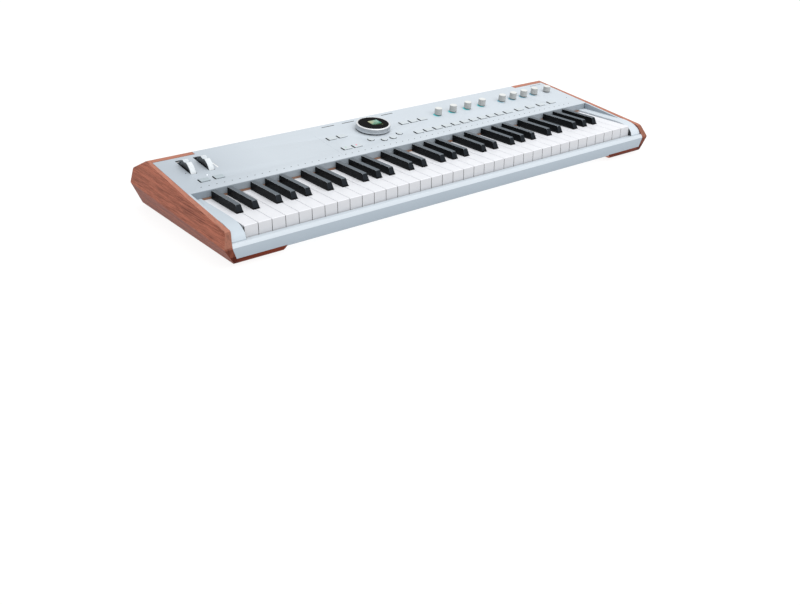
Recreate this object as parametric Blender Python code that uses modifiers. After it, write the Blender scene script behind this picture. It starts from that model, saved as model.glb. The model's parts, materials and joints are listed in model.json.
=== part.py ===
"""Stage keyboard: 61 keys, wooden end caps, sloped panel and a round display dial.

Sizes are millimetres in the named values and become metres where meshes are made.
The origin is the centre of the footprint on the ground, +X runs to the treble end,
+Y to the rear and +Z up.
"""

import math

import bmesh
import bpy
from mathutils import Matrix, Vector

MM = 0.001
GAP = 0.3

# Whole body, side view. The top is one slope from the front corner to the rear edge.
HALF_WIDTH = 464.0
HALF_DEPTH = 164.5
FOOT_HEIGHT = 6.0
WOOD_THICKNESS = 7.2
REAR_WOOD_THICKNESS = 6.0
SHELL_BOTTOM = FOOT_HEIGHT + WOOD_THICKNESS + GAP
PANEL_TILT = math.radians(6.96)
PANEL_FRONT = (-17.2, 70.5)
FRONT_CORNER = (-153.0, 53.9)
NOSE = (-164.6, 31.5)
FRONT_FOOT = (-161.8, FOOT_HEIGHT)
REAR_FOOT = (162.0, FOOT_HEIGHT)
REAR_NOSE_HEIGHT = 43.3
REAR_CORNER = (HALF_DEPTH, 67.0)
REAR_EDGE_Y = 123.0
RETURN_END = 367.0
BOTTOM_RETURN_END = 365.1
RETURN_MITRE = 14.0
CORNER_RADIUS = 8.0
WOOD_CORNER_RADIUS = 5.0
REAR_DROP = 7.0

# Side lean of the wood and of the shell inside it: half widths at each height.
WOOD_RIDGE = 464.0
SHELL_RIDGE = 451.0
LEAN_SECTIONS = {
    "wood": {"front": (-0.4545, 0.645), "rear": (-0.326, 0.421)},
    "shell": {"front": (-0.268, 0.3825), "rear": (-0.172, 0.227)},
}
SECTION_Y = 185.0
RIDGE_FRONT_Z = 30.8
RIDGE_REAR_Z = 44.0
SECTION_TOP = 120.0
SECTION_BOTTOM = -20.0

# Keys
PITCH = 23.5
WHITE_COUNT = 36
OCTAVES = 5
KEY_FRONT_Y = -151.5
WHITE_TOP = 55.9
WHITE_LIP_BOTTOM = 35.2
WHITE_LIP_THICKNESS = 3.0
WHITE_GAP = 0.9
WHITE_EDGE_RADIUS = 1.6
BLACK_FRONT_Y = -102.2
BLACK_REAR_Y = -18.3
BLACK_TOP = 68.2
BLACK_FRONT_SLOPE = 4.9
BLACK_BASE_WIDTH = 11.3
BLACK_TOP_WIDTH = 8.2
BLACK_SLOT_WIDTH = 12.9
BLACK_TAIL_WIDTH = 8.0
BLACK_TAIL_TOP = 55.4
HINGE_Z = 40.7
HINGE_RADIUS = 4.0
# Family of keys: white notes of the octave, hinge line and underside of the tails.
FAMILIES = {
    "ceg": {"notes": (0, 2, 4, 6), "hinge_y": 36.5, "underside": 47.2},
    "dfa": {"notes": (1, 3, 5), "hinge_y": 24.5, "underside": 44.7},
    "black": {"hinge_y": 12.5, "underside": 42.7},
}
# Black key centres from the left side of C: white boundary and offset.
BLACK_PLACES = ((1, -2.4), (2, 2.4), (4, -3.2), (5, 0.0), (6, 3.2))

# Sheets and boards
SHELL_SHEET = 2.0
RAIL_SHEET = 2.2
CHASSIS_SHEET = 1.5
REAR_SHEET = 2.5
RAIL_FLANGE = ((-162.8, SHELL_BOTTOM), (-150.0, SHELL_BOTTOM))
TRAY_LINE_Y = (-149.4, 161.5)
TRAY_FRONT_LIP = 23.0
TRAY_REAR_LIP = 24.5
BOARD = 1.6
KEYBED_HALF_WIDTH = 420.0
# Side view of the keybed's folded chassis: front lip, trough, key rest, hinge seat and rear flange.
CHASSIS_LINE = ((-146.0, 31.0), (-146.0, 15.8), (-76.0, 15.8), (-72.0, 29.5), (0.0, 29.5),
                (5.0, 34.9), (44.0, 34.9), (47.0, 15.8), (62.0, 15.8))
FELT_Y = (-17.9, -13.9)
CONTACT_BOARD_Y = (-68.0, -6.0)
CONTACT_BOARD_Z = 31.3
BLOCK_INNER_X = 423.9
RIM_INNER_X = 441.3
BLOCK_TOP = 58.7
BLOCK_BOTTOM = 37.4
# The floor beside the keys curves down at its front: places (Y, Z) read back from the photo.
BLOCK_NOSE = ((-158.0, 37.4), (-157.7, 40.2), (-156.4, 44.1), (-153.7, 48.1), (-149.6, 51.4),
              (-144.9, 53.8), (-138.9, 55.7), (-129.3, 57.5), (-120.0, 58.4), (-111.0, 58.7))
LEDGE_Z = 37.1
LEDGE_REAR_Y = -152.8
FALLBOARD_BOTTOM = 58.3
PANEL_HOLE_GAP = 0.75

# Controls: places on the panel are X and the Y of the foot point on its surface.
BUTTON_SIZE = (17.0, 11.3)
BUTTON_CORNER = 1.5
BUTTON_RISE = 1.3
BUTTON_DEPTH = 6.5
PAD_TOP = -3.5
PAD_THICKNESS = 2.0
PAD_MARGIN = (2.0, 1.5)
ROW_Y = 16.3
UPPER_ROW_Y = 63.5
OCTAVE_BUTTON_X = (-400.4, -374.3)
TRANSPORT_X = (-126.0, -103.8)
PRESET_FIRST_X = 34.9
PRESET_PITCH = 22.25
PRESET_COUNT = 11
BANK_X = (36.0, 58.2, 80.4)
EFFECT_FIRST_X = 288.0
EFFECT_PITCH = 29.8
EFFECT_COUNT = 4
DIAL_PLACE = (-33.4, 65.0)
DIAL_RADIUS = 31.6
GLASS_RADIUS = 28.0
GLASS_BOTTOM = 10.6
DIAL_HEIGHT = 12.0
DIAL_LIFT = 1.9
DIAL_CLEARANCE = 27.4
HUB_RADIUS = 27.0
HUB_NECK = 24.4
HUB_FOOT = 0.4
DIAL_HOLE_RADIUS = 24.8
ROUND_BUTTON_RADIUS = 5.8
ROUND_ARC_RADIUS = 49.5
ROUND_ARC_ANGLES = (-40.0, -11.4, 11.4, 40.0)
ROUND_PAD_HALF_WIDTH = 7.5
ROUND_PAD_HALF_ANGLE = 49.0
KNOB_Y = 66.5
KNOB_X = (122.0, 159.2, 196.4, 233.6) + tuple(EFFECT_FIRST_X + EFFECT_PITCH * i for i in range(4))
MASTER_X = 414.0
KNOB_RADIUS = 7.2
KNOB_HEIGHT = 13.2
MASTER_HEIGHT = 10.6
KNOB_FOOT = 1.0
SHAFT_RADIUS = 3.0
SHAFT_END = -2.7
BOARD_TOP = -8.0
ENCODER_WIDTH = 12.0
ENCODER_TOP = -3.0
# The board under the panel: X of its ends and of its step, Y of its edges, X of its posts.
CONTROL_BOARD_X = (-416.0, -146.0, 432.0)
CONTROL_BOARD_Y = (4.0, 32.0, 84.0)
REAR_POST_X = (-136.0, 100.0, 262.0, 424.0)
FRONT_POST_X = (-388.0, -250.0)
WHEEL_X = (-403.5, -371.1)
WHEEL_SLOT = (43.4, 101.6)
WHEEL_FOOT_Y = 67.5
WHEEL_DEPTH = 11.1
WHEEL_RADIUS = 25.3
WHEEL_WIDTH = 9.6
WHEEL_NOTCH_RADIUS = 8.0
WHEEL_NOTCH_OFFSET = 5.2
WHEEL_NOTCH_ANGLE = -0.02
AXLE_RADIUS = 2.9
AXLE_SHORT = 8.2
AXLE_LONG = 15.7
UPRIGHT = 2.0
BRACKET_Y = (50.0, 90.0)

# Rear connectors
JACK_BORE = 3.25
JACK_COLLAR = 5.2
JACK_PITCH = 18.0
SOCKET_Z = 34.0
SOCKET_HEIGHT = 17.0
SOCKET_DEPTH = 24.0
SOCKET_BORE_DEPTH = 19.0
SOCKET_FACE_Y = 163.0
PEDAL_JACKS_X = (-80.0, 4)
AUDIO_JACKS_X = (70.0, 5)
PORTS_X = (200.0, 96.0)
# Openings of the port block, from its left end: round sockets, flat ones and the power inlet.
PORT_DEPTH = 10.0
ROUND_PORTS = (10.0, 28.0)
ROUND_PORT_RADIUS = 6.6
FLAT_PORTS = ((41.0, 54.4, 2.8), (60.0, 69.0, 1.6))
POWER_INLET = (83.0, 3.2)
POWER_BUTTON_X = 320.0
POWER_BUTTON_RADIUS = 6.0
POWER_BUTTON_LENGTH = 15.0

# Main board on the tray: X, Y of its edges, underside, posts and tallest chips.
MAIN_BOARD_X = (-150.0, 150.0)
MAIN_BOARD_Y = (72.0, 134.0)
MAIN_BOARD_Z = 25.0
MAIN_POST_X = (-142.0, 142.0)
MAIN_POST_Y = (80.0, 126.0)
MAIN_POST_RADIUS = 3.5
CHIPS = ((-40.0, 88.0, -4.0, 124.0, 5.0), (30.0, 90.0, 52.0, 112.0, 4.0))

# Rubber strips under the bottom boards: distance from the middle, width, length, corner.
FOOT_STRIP = (405.0, 24.0, 290.0, 9.0)

COLOURS = {
    "shell": ((0.66, 0.73, 0.79, 1.0), 0.42, 0.0),
    "shell_rail": ((0.70, 0.76, 0.81, 1.0), 0.40, 0.1),
    "wood": ((0.36, 0.13, 0.09, 1.0), 0.48, 0.0),
    "white_key": ((0.86, 0.87, 0.87, 1.0), 0.28, 0.0),
    "black_key": ((0.018, 0.022, 0.028, 1.0), 0.38, 0.0),
    "felt": ((0.32, 0.11, 0.06, 1.0), 0.95, 0.0),
    "steel": ((0.55, 0.56, 0.58, 1.0), 0.38, 0.9),
    "board": ((0.03, 0.16, 0.09, 1.0), 0.55, 0.0),
    "glass": ((0.01, 0.01, 0.012, 1.0), 0.06, 0.0),
    "dial": ((0.78, 0.80, 0.82, 1.0), 0.26, 0.85),
    "knob": ((0.80, 0.80, 0.76, 1.0), 0.5, 0.0),
    "button": ((0.70, 0.76, 0.81, 1.0), 0.5, 0.0),
    "dark_plastic": ((0.03, 0.032, 0.035, 1.0), 0.5, 0.0),
    "rubber": ((0.025, 0.025, 0.025, 1.0), 0.9, 0.0),
    "wheel": ((0.84, 0.85, 0.84, 1.0), 0.45, 0.0),
}


def panel_z(y):
    """Height of the sloped top surface above the point at depth y."""
    return PANEL_FRONT[1] + math.tan(PANEL_TILT) * (y - PANEL_FRONT[0])


def panel_v(y):
    """Distance along the slope from the panel's front edge."""
    return (y - PANEL_FRONT[0]) / math.cos(PANEL_TILT)


def on_panel(x, y):
    """Place of a point of the panel surface, in metres."""
    return Vector((x, y, panel_z(y))) * MM


def material(name):
    """The Principled material of one finish, made once."""
    existing = bpy.data.materials.get(name)
    if existing:
        return existing
    colour, roughness, metallic = COLOURS[name]
    made = bpy.data.materials.new(name)
    made.use_nodes = True
    shader = made.node_tree.nodes["Principled BSDF"]
    shader.inputs["Base Color"].default_value = colour
    shader.inputs["Roughness"].default_value = roughness
    shader.inputs["Metallic"].default_value = metallic
    made.diffuse_color = colour
    return made


def clear_scene():
    for item in list(bpy.data.objects):
        bpy.data.objects.remove(item, do_unlink=True)


def collection(name):
    made = bpy.data.collections.new(name)
    bpy.context.scene.collection.children.link(made)
    return made


def rounded(points, steps=4):
    """Corner points (u, v) or (u, v, radius) of an outline, with the corners rounded."""
    result = []
    count = len(points)
    for index, corner in enumerate(points):
        here = Vector(corner[:2])
        radius = corner[2] if len(corner) > 2 else 0.0
        if radius <= 0.0:
            result.append(tuple(here))
            continue
        back = (Vector(points[index - 1][:2]) - here).normalized()
        ahead = (Vector(points[(index + 1) % count][:2]) - here).normalized()
        half = back.angle(ahead) / 2
        centre = here + (back + ahead).normalized() * (radius / math.sin(half))
        start = here + back * (radius / math.tan(half)) - centre
        end = here + ahead * (radius / math.tan(half)) - centre
        turn = start.angle_signed(end)
        for step in range(steps + 1):
            arm = start.copy()
            arm.rotate(Matrix.Rotation(-turn * step / steps, 2))
            result.append(tuple(centre + arm))
    return result


def circle(u, v, radius, steps=16):
    return [(u + radius * math.cos(2 * math.pi * i / steps),
             v + radius * math.sin(2 * math.pi * i / steps)) for i in range(steps)]


def rectangle(u, v, width, height, radius=0.0):
    corners = ((-1, -1), (1, -1), (1, 1), (-1, 1))
    return rounded([(u + a * width / 2, v + b * height / 2, radius) for a, b in corners], 1)


def outline_mesh(outlines, low, high):
    """Flat outlines, with holes where one lies in another, given thickness from low to high."""
    curve = bpy.data.curves.new("outline", "CURVE")
    curve.dimensions = "2D"
    curve.fill_mode = "BOTH"
    curve.extrude = (high - low) / 2
    for points in outlines:
        spline = curve.splines.new("POLY")
        spline.points.add(len(points) - 1)
        for knot, (u, v) in zip(spline.points, points):
            knot.co = (u, v, 0.0, 1.0)
        spline.use_cyclic_u = True
    holder = bpy.data.objects.new("outline", curve)
    bpy.context.scene.collection.objects.link(holder)
    depsgraph = bpy.context.evaluated_depsgraph_get()
    mesh = bpy.data.meshes.new_from_object(holder.evaluated_get(depsgraph))
    bpy.data.objects.remove(holder, do_unlink=True)
    bpy.data.curves.remove(curve)
    body = bmesh.new()
    body.from_mesh(mesh)
    bmesh.ops.remove_doubles(body, verts=body.verts, dist=0.001)
    bmesh.ops.translate(body, verts=body.verts, vec=(0.0, 0.0, (low + high) / 2))
    bmesh.ops.scale(body, verts=body.verts, vec=(MM, MM, MM))
    bmesh.ops.recalc_face_normals(body, faces=body.faces)
    body.to_mesh(mesh)
    body.free()
    return mesh


SIDE_VIEW = Matrix(((0, 0, 1, 0), (1, 0, 0, 0), (0, 1, 0, 0), (0, 0, 0, 1)))
REAR_VIEW = Matrix(((1, 0, 0, 0), (0, 0, -1, 0), (0, 1, 0, 0), (0, 0, 0, 1)))


def side_prism(points, x0, x1):
    """A side view outline in Y and Z, carried from x0 to x1."""
    mesh = outline_mesh([points], x0, x1)
    mesh.transform(SIDE_VIEW)
    return mesh


def rear_plate(outlines, y0, y1):
    """A rear view outline in X and Z, carried from y0 to y1."""
    mesh = outline_mesh(outlines, -y1, -y0)
    mesh.transform(REAR_VIEW)
    return mesh


def box_mesh(low, high):
    """A block between two corners."""
    body = bmesh.new()
    bmesh.ops.create_cube(body, size=1.0)
    size = [(b - a) * MM for a, b in zip(low, high)]
    middle = [(a + b) / 2 * MM for a, b in zip(low, high)]
    bmesh.ops.scale(body, verts=body.verts, vec=size)
    bmesh.ops.translate(body, verts=body.verts, vec=middle)
    mesh = bpy.data.meshes.new("block")
    body.to_mesh(mesh)
    body.free()
    return mesh


def rod_mesh(centre, radius, length, axis="Z", steps=16):
    """A round rod with its middle at centre."""
    body = bmesh.new()
    bmesh.ops.create_cone(body, cap_ends=True, segments=steps, radius1=radius * MM,
                          radius2=radius * MM, depth=length * MM)
    mesh = bpy.data.meshes.new("rod")
    body.to_mesh(mesh)
    body.free()
    turn = {"X": Matrix.Rotation(math.pi / 2, 4, "Y"), "Y": Matrix.Rotation(math.pi / 2, 4, "X"),
            "Z": Matrix.Identity(4)}[axis]
    mesh.transform(Matrix.Translation(Vector(centre) * MM) @ turn)
    return mesh


def joined(meshes):
    """Several closed bodies that don't touch, in one mesh."""
    body = bmesh.new()
    for mesh in meshes:
        body.from_mesh(mesh)
        bpy.data.meshes.remove(mesh)
    result = bpy.data.meshes.new("joined")
    body.to_mesh(result)
    body.free()
    return result


def add(name, mesh, finish, group, origin=(0.0, 0.0, 0.0), tilt=0.0):
    """A named sub-part. Its mesh is given round its own origin when tilt or origin say so."""
    mesh.name = name
    mesh.materials.clear()
    mesh.materials.append(material(finish))
    made = bpy.data.objects.new(name, mesh)
    group.objects.link(made)
    made.location = origin
    made.rotation_euler = (tilt, 0.0, 0.0)
    return made


def recentre(item, origin):
    """Moves an object's origin to a point in metres and leaves its shape in place."""
    item.data.transform(Matrix.Translation(-Vector(origin)))
    item.location = origin


def cutter(name, mesh, group, origin=(0.0, 0.0, 0.0), tilt=0.0):
    made = add(name, mesh, "steel", group, origin, tilt)
    made.hide_render = True
    made.display_type = "WIRE"
    return made


def boolean(item, other, operation):
    step = item.modifiers.new(operation.lower(), "BOOLEAN")
    step.operation = operation
    step.solver = "EXACT"
    step.object = other


def applied(item):
    """Applies an object's modifiers."""
    depsgraph = bpy.context.evaluated_depsgraph_get()
    mesh = bpy.data.meshes.new_from_object(item.evaluated_get(depsgraph))
    item.modifiers.clear()
    item.data = mesh
    mesh.name = item.name


def fuse(item, meshes):
    """Joins closed bodies to an object with Boolean unions."""
    for mesh in meshes:
        tool = bpy.data.objects.new("tool", mesh)
        bpy.context.scene.collection.objects.link(tool)
        tool.location = item.location
        tool.rotation_euler = item.rotation_euler
        boolean(item, tool, "UNION")
        applied(item)
        bpy.data.objects.remove(tool, do_unlink=True)


def turned(name, profile, finish, group, origin, tilt=0.0, steps=24, closed=False):
    """A turned shape: radius and height points of its profile, top to bottom outside."""
    body = bmesh.new()
    knots = [body.verts.new((radius * MM, 0.0, height * MM)) for radius, height in profile]
    pairs = list(zip(knots, knots[1:]))
    if closed:
        pairs.append((knots[-1], knots[0]))
    for first, second in pairs:
        body.edges.new((first, second))
    mesh = bpy.data.meshes.new(name)
    body.to_mesh(mesh)
    body.free()
    made = add(name, mesh, finish, group, origin, tilt)
    screw = made.modifiers.new("turn", "SCREW")
    screw.steps = steps
    screw.render_steps = steps
    screw.use_merge_vertices = True
    screw.merge_threshold = 0.00001
    screw.use_smooth_shade = True
    return made


def smooth(item, angle=35.0):
    item.data.shade_smooth()
    item.data.set_sharp_from_angle(angle=math.radians(angle))


def folded_sheet(name, line, half_width, thickness, finish, group, outward):
    """A sheet bent along a side view line, its outer face on the line."""
    body = bmesh.new()
    knots = [body.verts.new((-half_width * MM, y * MM, z * MM)) for y, z in line]
    edges = [body.edges.new(pair) for pair in zip(knots, knots[1:])]
    grown = bmesh.ops.extrude_edge_only(body, edges=edges)["geom"]
    moved = [part for part in grown if isinstance(part, bmesh.types.BMVert)]
    bmesh.ops.translate(body, verts=moved, vec=(2 * half_width * MM, 0.0, 0.0))
    body.normal_update()
    if knots[0].link_faces[0].normal.dot(Vector(outward)) < 0:
        bmesh.ops.reverse_faces(body, faces=body.faces)
    mesh = bpy.data.meshes.new(name)
    body.to_mesh(mesh)
    body.free()
    made = add(name, mesh, finish, group)
    shell = made.modifiers.new("thickness", "SOLIDIFY")
    shell.thickness = thickness * MM
    shell.offset = -1.0
    shell.use_even_offset = True
    return made


def open_line(points, steps=4):
    """A line whose inner corners are rounded."""
    first = points[0][:2]
    last = points[-1][:2]
    return [first] + rounded(points, steps)[1:-1] + [last]


def lean_hull(name, ridge, leans, inset, group):
    """The space between the leaning sides, widest along a ridge that rises to the rear."""
    body = bmesh.new()
    for y, ridge_z, (above, below) in ((-SECTION_Y, RIDGE_FRONT_Z, leans["front"]),
                                       (SECTION_Y, RIDGE_REAR_Z, leans["rear"])):
        levels = ((ridge + above * (SECTION_TOP - ridge_z), SECTION_TOP), (ridge, ridge_z),
                  (ridge + below * (SECTION_BOTTOM - ridge_z), SECTION_BOTTOM))
        for half, z in levels:
            for side in (-1, 1):
                body.verts.new((side * (half - inset) * MM, y * MM, z * MM))
    bmesh.ops.convex_hull(body, input=body.verts)
    bmesh.ops.recalc_face_normals(body, faces=body.faces)
    mesh = bpy.data.meshes.new(name)
    body.to_mesh(mesh)
    body.free()
    return cutter(name, mesh, group)


def wood_caps(parts, cutters, wood_hull, shell_space):
    """A board at each end that runs under the body and round its rear edge."""
    round_corner = (WOOD_CORNER_RADIUS,)
    outline = rounded([FRONT_CORNER + (CORNER_RADIUS,), NOSE + round_corner,
                       FRONT_FOOT + round_corner, REAR_FOOT,
                       (HALF_DEPTH, REAR_NOSE_HEIGHT) + round_corner, REAR_CORNER + round_corner,
                       (REAR_EDGE_Y, panel_z(REAR_EDGE_Y))])
    inner_end = BOTTOM_RETURN_END - WOOD_THICKNESS
    for side, name in ((-1, "left_wood_end"), (1, "right_wood_end")):
        span = sorted((side * inner_end, side * (HALF_WIDTH + 20)))
        cap = add(name, side_prism(outline, *span), "wood", parts)
        boolean(cap, wood_hull, "INTERSECT")
        boolean(cap, shell_space, "DIFFERENCE")
        above = FOOT_HEIGHT + WOOD_THICKNESS + 2.0
        mitre = [(side * (inner_end - 30), -10.0), (side * (BOTTOM_RETURN_END + RETURN_MITRE + 2.0), -10.0),
                 (side * (inner_end - 2.0), above), (side * (inner_end - 30), above)]
        wedge = cutter(name + "_mitre", rear_plate([mitre], -180, 180), cutters)
        boolean(cap, wedge, "DIFFERENCE")
        ends = sorted((side * (inner_end - 30), side * RETURN_END))
        trim = cutter(name + "_trim", box_mesh((ends[0], 90, 50), (ends[1], 180, 100)), cutters)
        boolean(cap, trim, "DIFFERENCE")
        applied(cap)


def shell_void(cutters, shell_hull):
    """The space inside the wood: below the top, above the bottom board, in front of the rear one."""
    drop = (REAR_CORNER[1] - panel_z(REAR_EDGE_Y)) / (REAR_CORNER[0] - REAR_EDGE_Y)
    inset = REAR_WOOD_THICKNESS * math.sqrt(1 + drop * drop)
    at_rear = REAR_CORNER[1] - inset + drop * (190 - REAR_CORNER[0])
    at_top = REAR_CORNER[0] + (SECTION_TOP - REAR_CORNER[1] + inset) / drop
    bottom = FOOT_HEIGHT + WOOD_THICKNESS
    outline = [(-190.0, bottom), (190.0, bottom), (190.0, at_rear), (at_top, SECTION_TOP),
               (-190.0, SECTION_TOP)]
    space = cutter("shell_space", side_prism(outline, -500, 500), cutters)
    boolean(space, shell_hull, "INTERSECT")
    return space


def front_rail(parts, fit_hull):
    """Folded rail below the key fronts: ledge, nose, lower face and a bottom flange."""
    slope = (FRONT_CORNER[0] - NOSE[0]) / (FRONT_CORNER[1] - NOSE[1])
    ledge_front = NOSE[0] + slope * (LEDGE_Z - NOSE[1])
    line = open_line([(LEDGE_REAR_Y, LEDGE_Z), (ledge_front, LEDGE_Z, 2.6), NOSE + (3.8,),
                      RAIL_FLANGE[0] + (2.6,), RAIL_FLANGE[1]])
    rail = folded_sheet("front_rail", line, HALF_WIDTH, RAIL_SHEET, "shell_rail", parts, (0, 0, 1))
    boolean(rail, fit_hull, "INTERSECT")
    applied(rail)
    smooth(rail, 25)


def key_blocks(parts, cutters, fit_hull):
    """Solid cheeks beside the keys: a rounded nose, then a floor inside a thin rim that rises rearward."""
    rear = PANEL_FRONT[0] - GAP
    outline = [(rear, BLOCK_BOTTOM), (rear, panel_z(rear))] + list(reversed(BLOCK_NOSE))
    above = [(rear + 20, BLOCK_TOP), (rear + 20, 90.0), (BLOCK_NOSE[-1][0] - 0.5, 90.0),
             (BLOCK_NOSE[-1][0] - 0.5, BLOCK_TOP)]
    for side, name in ((-1, "left_key_block"), (1, "right_key_block")):
        span = sorted((side * BLOCK_INNER_X, side * (HALF_WIDTH + 20)))
        block = add(name, side_prism(outline, *span), "shell", parts)
        boolean(block, fit_hull, "INTERSECT")
        floor = sorted((side * (BLOCK_INNER_X - 10), side * RIM_INNER_X))
        recess = cutter(name + "_recess", side_prism(above, *floor), cutters)
        boolean(block, recess, "DIFFERENCE")
        applied(block)
        smooth(block, 25)


def panel_holes(cutters):
    """Openings of the control panel, in the panel's own plane."""
    wide, deep = (side + 2 * PANEL_HOLE_GAP for side in BUTTON_SIZE)
    places = [(x, ROW_Y) for x in OCTAVE_BUTTON_X + TRANSPORT_X]
    places += [(x, UPPER_ROW_Y) for x in TRANSPORT_X + BANK_X]
    places += [(x, ROW_Y) for x in preset_places() + effect_places()]
    holes = [rectangle(x, panel_v(y), wide, deep, BUTTON_CORNER) for x, y in places]
    holes += [circle(x, panel_v(y), ROUND_BUTTON_RADIUS + PANEL_HOLE_GAP) for x, y in round_places()]
    holes += [circle(x, panel_v(KNOB_Y), SHAFT_RADIUS + 0.5, 12) for x in KNOB_X + (MASTER_X,)]
    holes.append(circle(DIAL_PLACE[0], panel_v(DIAL_PLACE[1]), DIAL_HOLE_RADIUS, 32))
    low, high = (panel_v(y) for y in WHEEL_SLOT)
    for x in WHEEL_X:
        holes.append(rectangle(x, (low + high) / 2, WHEEL_WIDTH + 1.1, high - low))
    origin = Vector((0.0, PANEL_FRONT[0], PANEL_FRONT[1])) * MM
    return cutter("panel_holes", outline_mesh(holes, -6.0, 6.0), cutters, origin, PANEL_TILT)


def preset_places():
    return [PRESET_FIRST_X + PRESET_PITCH * i for i in range(PRESET_COUNT)]


def effect_places():
    return [EFFECT_FIRST_X + EFFECT_PITCH * i for i in range(EFFECT_COUNT)]


def round_places():
    places = []
    for angle in ROUND_ARC_ANGLES:
        turn = math.radians(angle)
        along = panel_v(DIAL_PLACE[1]) - ROUND_ARC_RADIUS * math.cos(turn)
        places.append((DIAL_PLACE[0] + ROUND_ARC_RADIUS * math.sin(turn),
                       PANEL_FRONT[0] + along * math.cos(PANEL_TILT)))
    return places


def control_panel(parts, cutters, fit_hull):
    """One folded sheet: fallboard, sloped top, rear slope and rear drop."""
    drop_end = REAR_CORNER[1] - REAR_DROP
    line = open_line([(PANEL_FRONT[0], FALLBOARD_BOTTOM), PANEL_FRONT + (2.3,),
                      (REAR_EDGE_Y, panel_z(REAR_EDGE_Y), 3.0), REAR_CORNER + (3.0,),
                      (REAR_CORNER[0], drop_end)], 3)
    sheet = folded_sheet("control_panel", line, HALF_WIDTH, SHELL_SHEET, "shell", parts, (0, -1, 0))
    boolean(sheet, fit_hull, "INTERSECT")
    boolean(sheet, panel_holes(cutters), "DIFFERENCE")
    rear_slope = math.atan2(panel_z(REAR_EDGE_Y) - REAR_CORNER[1], REAR_CORNER[0] - REAR_EDGE_Y)
    strip_y = REAR_EDGE_Y - REAR_WOOD_THICKNESS / math.sin(rear_slope + PANEL_TILT)
    trims = []
    for side in (-1, 1):
        span = sorted((side * (RETURN_END - GAP), side * (HALF_WIDTH + 30)))
        trims.append(box_mesh((span[0], strip_y - GAP, 40), (span[1], 190, 110)))
        span = sorted((side * (RIM_INNER_X - GAP), side * (HALF_WIDTH + 30)))
        rim_end = PANEL_FRONT[0] + SHELL_SHEET + 1
        trims.append(box_mesh((span[0], -40, 40), (span[1], rim_end, PANEL_FRONT[1] - SHELL_SHEET - 0.2)))
    boolean(sheet, cutter("panel_trims", joined(trims), cutters), "DIFFERENCE")
    applied(sheet)


def white_profile(hinge_y, underside):
    """Side view of a white key: lip, rounded front edge, flat top and tail."""
    rear = hinge_y + HINGE_RADIUS
    lip_rear = KEY_FRONT_Y + WHITE_LIP_THICKNESS
    return rounded([(KEY_FRONT_Y, WHITE_LIP_BOTTOM), (KEY_FRONT_Y, WHITE_TOP, WHITE_EDGE_RADIUS),
                    (rear, WHITE_TOP), (rear, underside), (lip_rear, underside),
                    (lip_rear, WHITE_LIP_BOTTOM)], 2)


def hinge_bar(hinge_y, underside, x0, x1):
    """The bar that carries a family of keys, round underneath where it turns."""
    points = [(hinge_y + HINGE_RADIUS, underside + 0.5), (hinge_y - HINGE_RADIUS, underside + 0.5)]
    for step in range(7):
        angle = math.pi + math.pi * step / 6
        points.append((hinge_y + HINGE_RADIUS * math.cos(angle), HINGE_Z + HINGE_RADIUS * math.sin(angle)))
    return side_prism(points, x0, x1)


def octave_x(octave):
    return (octave * 7 - WHITE_COUNT / 2) * PITCH


def white_span(octave, note):
    left = octave_x(octave) + note * PITCH
    return left + WHITE_GAP / 2, left + PITCH - WHITE_GAP / 2


def black_centres(octave):
    return [octave_x(octave) + boundary * PITCH + offset for boundary, offset in BLACK_PLACES]


def white_comb(name, octave, notes, family, slots, parts):
    """White keys that share one hinge bar, notched beside the black keys."""
    shape = FAMILIES[family]
    profile = white_profile(shape["hinge_y"], shape["underside"])
    spans = [white_span(octave, note) for note in notes]
    comb = add(name, joined([side_prism(profile, *span) for span in spans]), "white_key", parts)
    boolean(comb, slots, "DIFFERENCE")
    applied(comb)
    ends = [value for span in spans for value in span]
    inset = 5.0 if family == "dfa" else 0.0
    bar = hinge_bar(shape["hinge_y"], shape["underside"], min(ends) + inset, max(ends) - inset)
    fuse(comb, [bar])
    recentre(comb, Vector((octave_x(octave), shape["hinge_y"], HINGE_Z)) * MM)
    smooth(comb, 30)


def black_key(centre):
    """A black key: sloped front, rounded top edge, sides drawn in towards the top."""
    underside = FAMILIES["black"]["underside"]
    profile = rounded([(BLACK_FRONT_Y, underside), (BLACK_FRONT_Y, WHITE_TOP),
                       (BLACK_FRONT_Y + BLACK_FRONT_SLOPE, BLACK_TOP, 2.5),
                       (BLACK_REAR_Y, BLACK_TOP), (BLACK_REAR_Y, underside)], 2)
    mesh = side_prism(profile, centre - BLACK_BASE_WIDTH / 2, centre + BLACK_BASE_WIDTH / 2)
    for vertex in mesh.vertices:
        rise = max(0.0, (vertex.co.z / MM - WHITE_TOP) / (BLACK_TOP - WHITE_TOP))
        ratio = 1 - rise * (1 - BLACK_TOP_WIDTH / BLACK_BASE_WIDTH)
        vertex.co.x = centre * MM + (vertex.co.x - centre * MM) * ratio
    return mesh


def black_comb(name, octave, parts):
    shape = FAMILIES["black"]
    centres = black_centres(octave)
    comb = add(name, joined([black_key(centre) for centre in centres]), "black_key", parts)
    half = BLACK_TAIL_WIDTH / 2
    rear = shape["hinge_y"] + HINGE_RADIUS
    tails = [box_mesh((centre - half, BLACK_REAR_Y - 2, shape["underside"]),
                      (centre + half, rear, BLACK_TAIL_TOP)) for centre in centres]
    bar = hinge_bar(shape["hinge_y"], shape["underside"], centres[0] - half, centres[-1] + half)
    fuse(comb, [joined(tails), bar])
    recentre(comb, Vector((octave_x(octave), shape["hinge_y"], HINGE_Z)) * MM)
    smooth(comb, 30)


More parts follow.
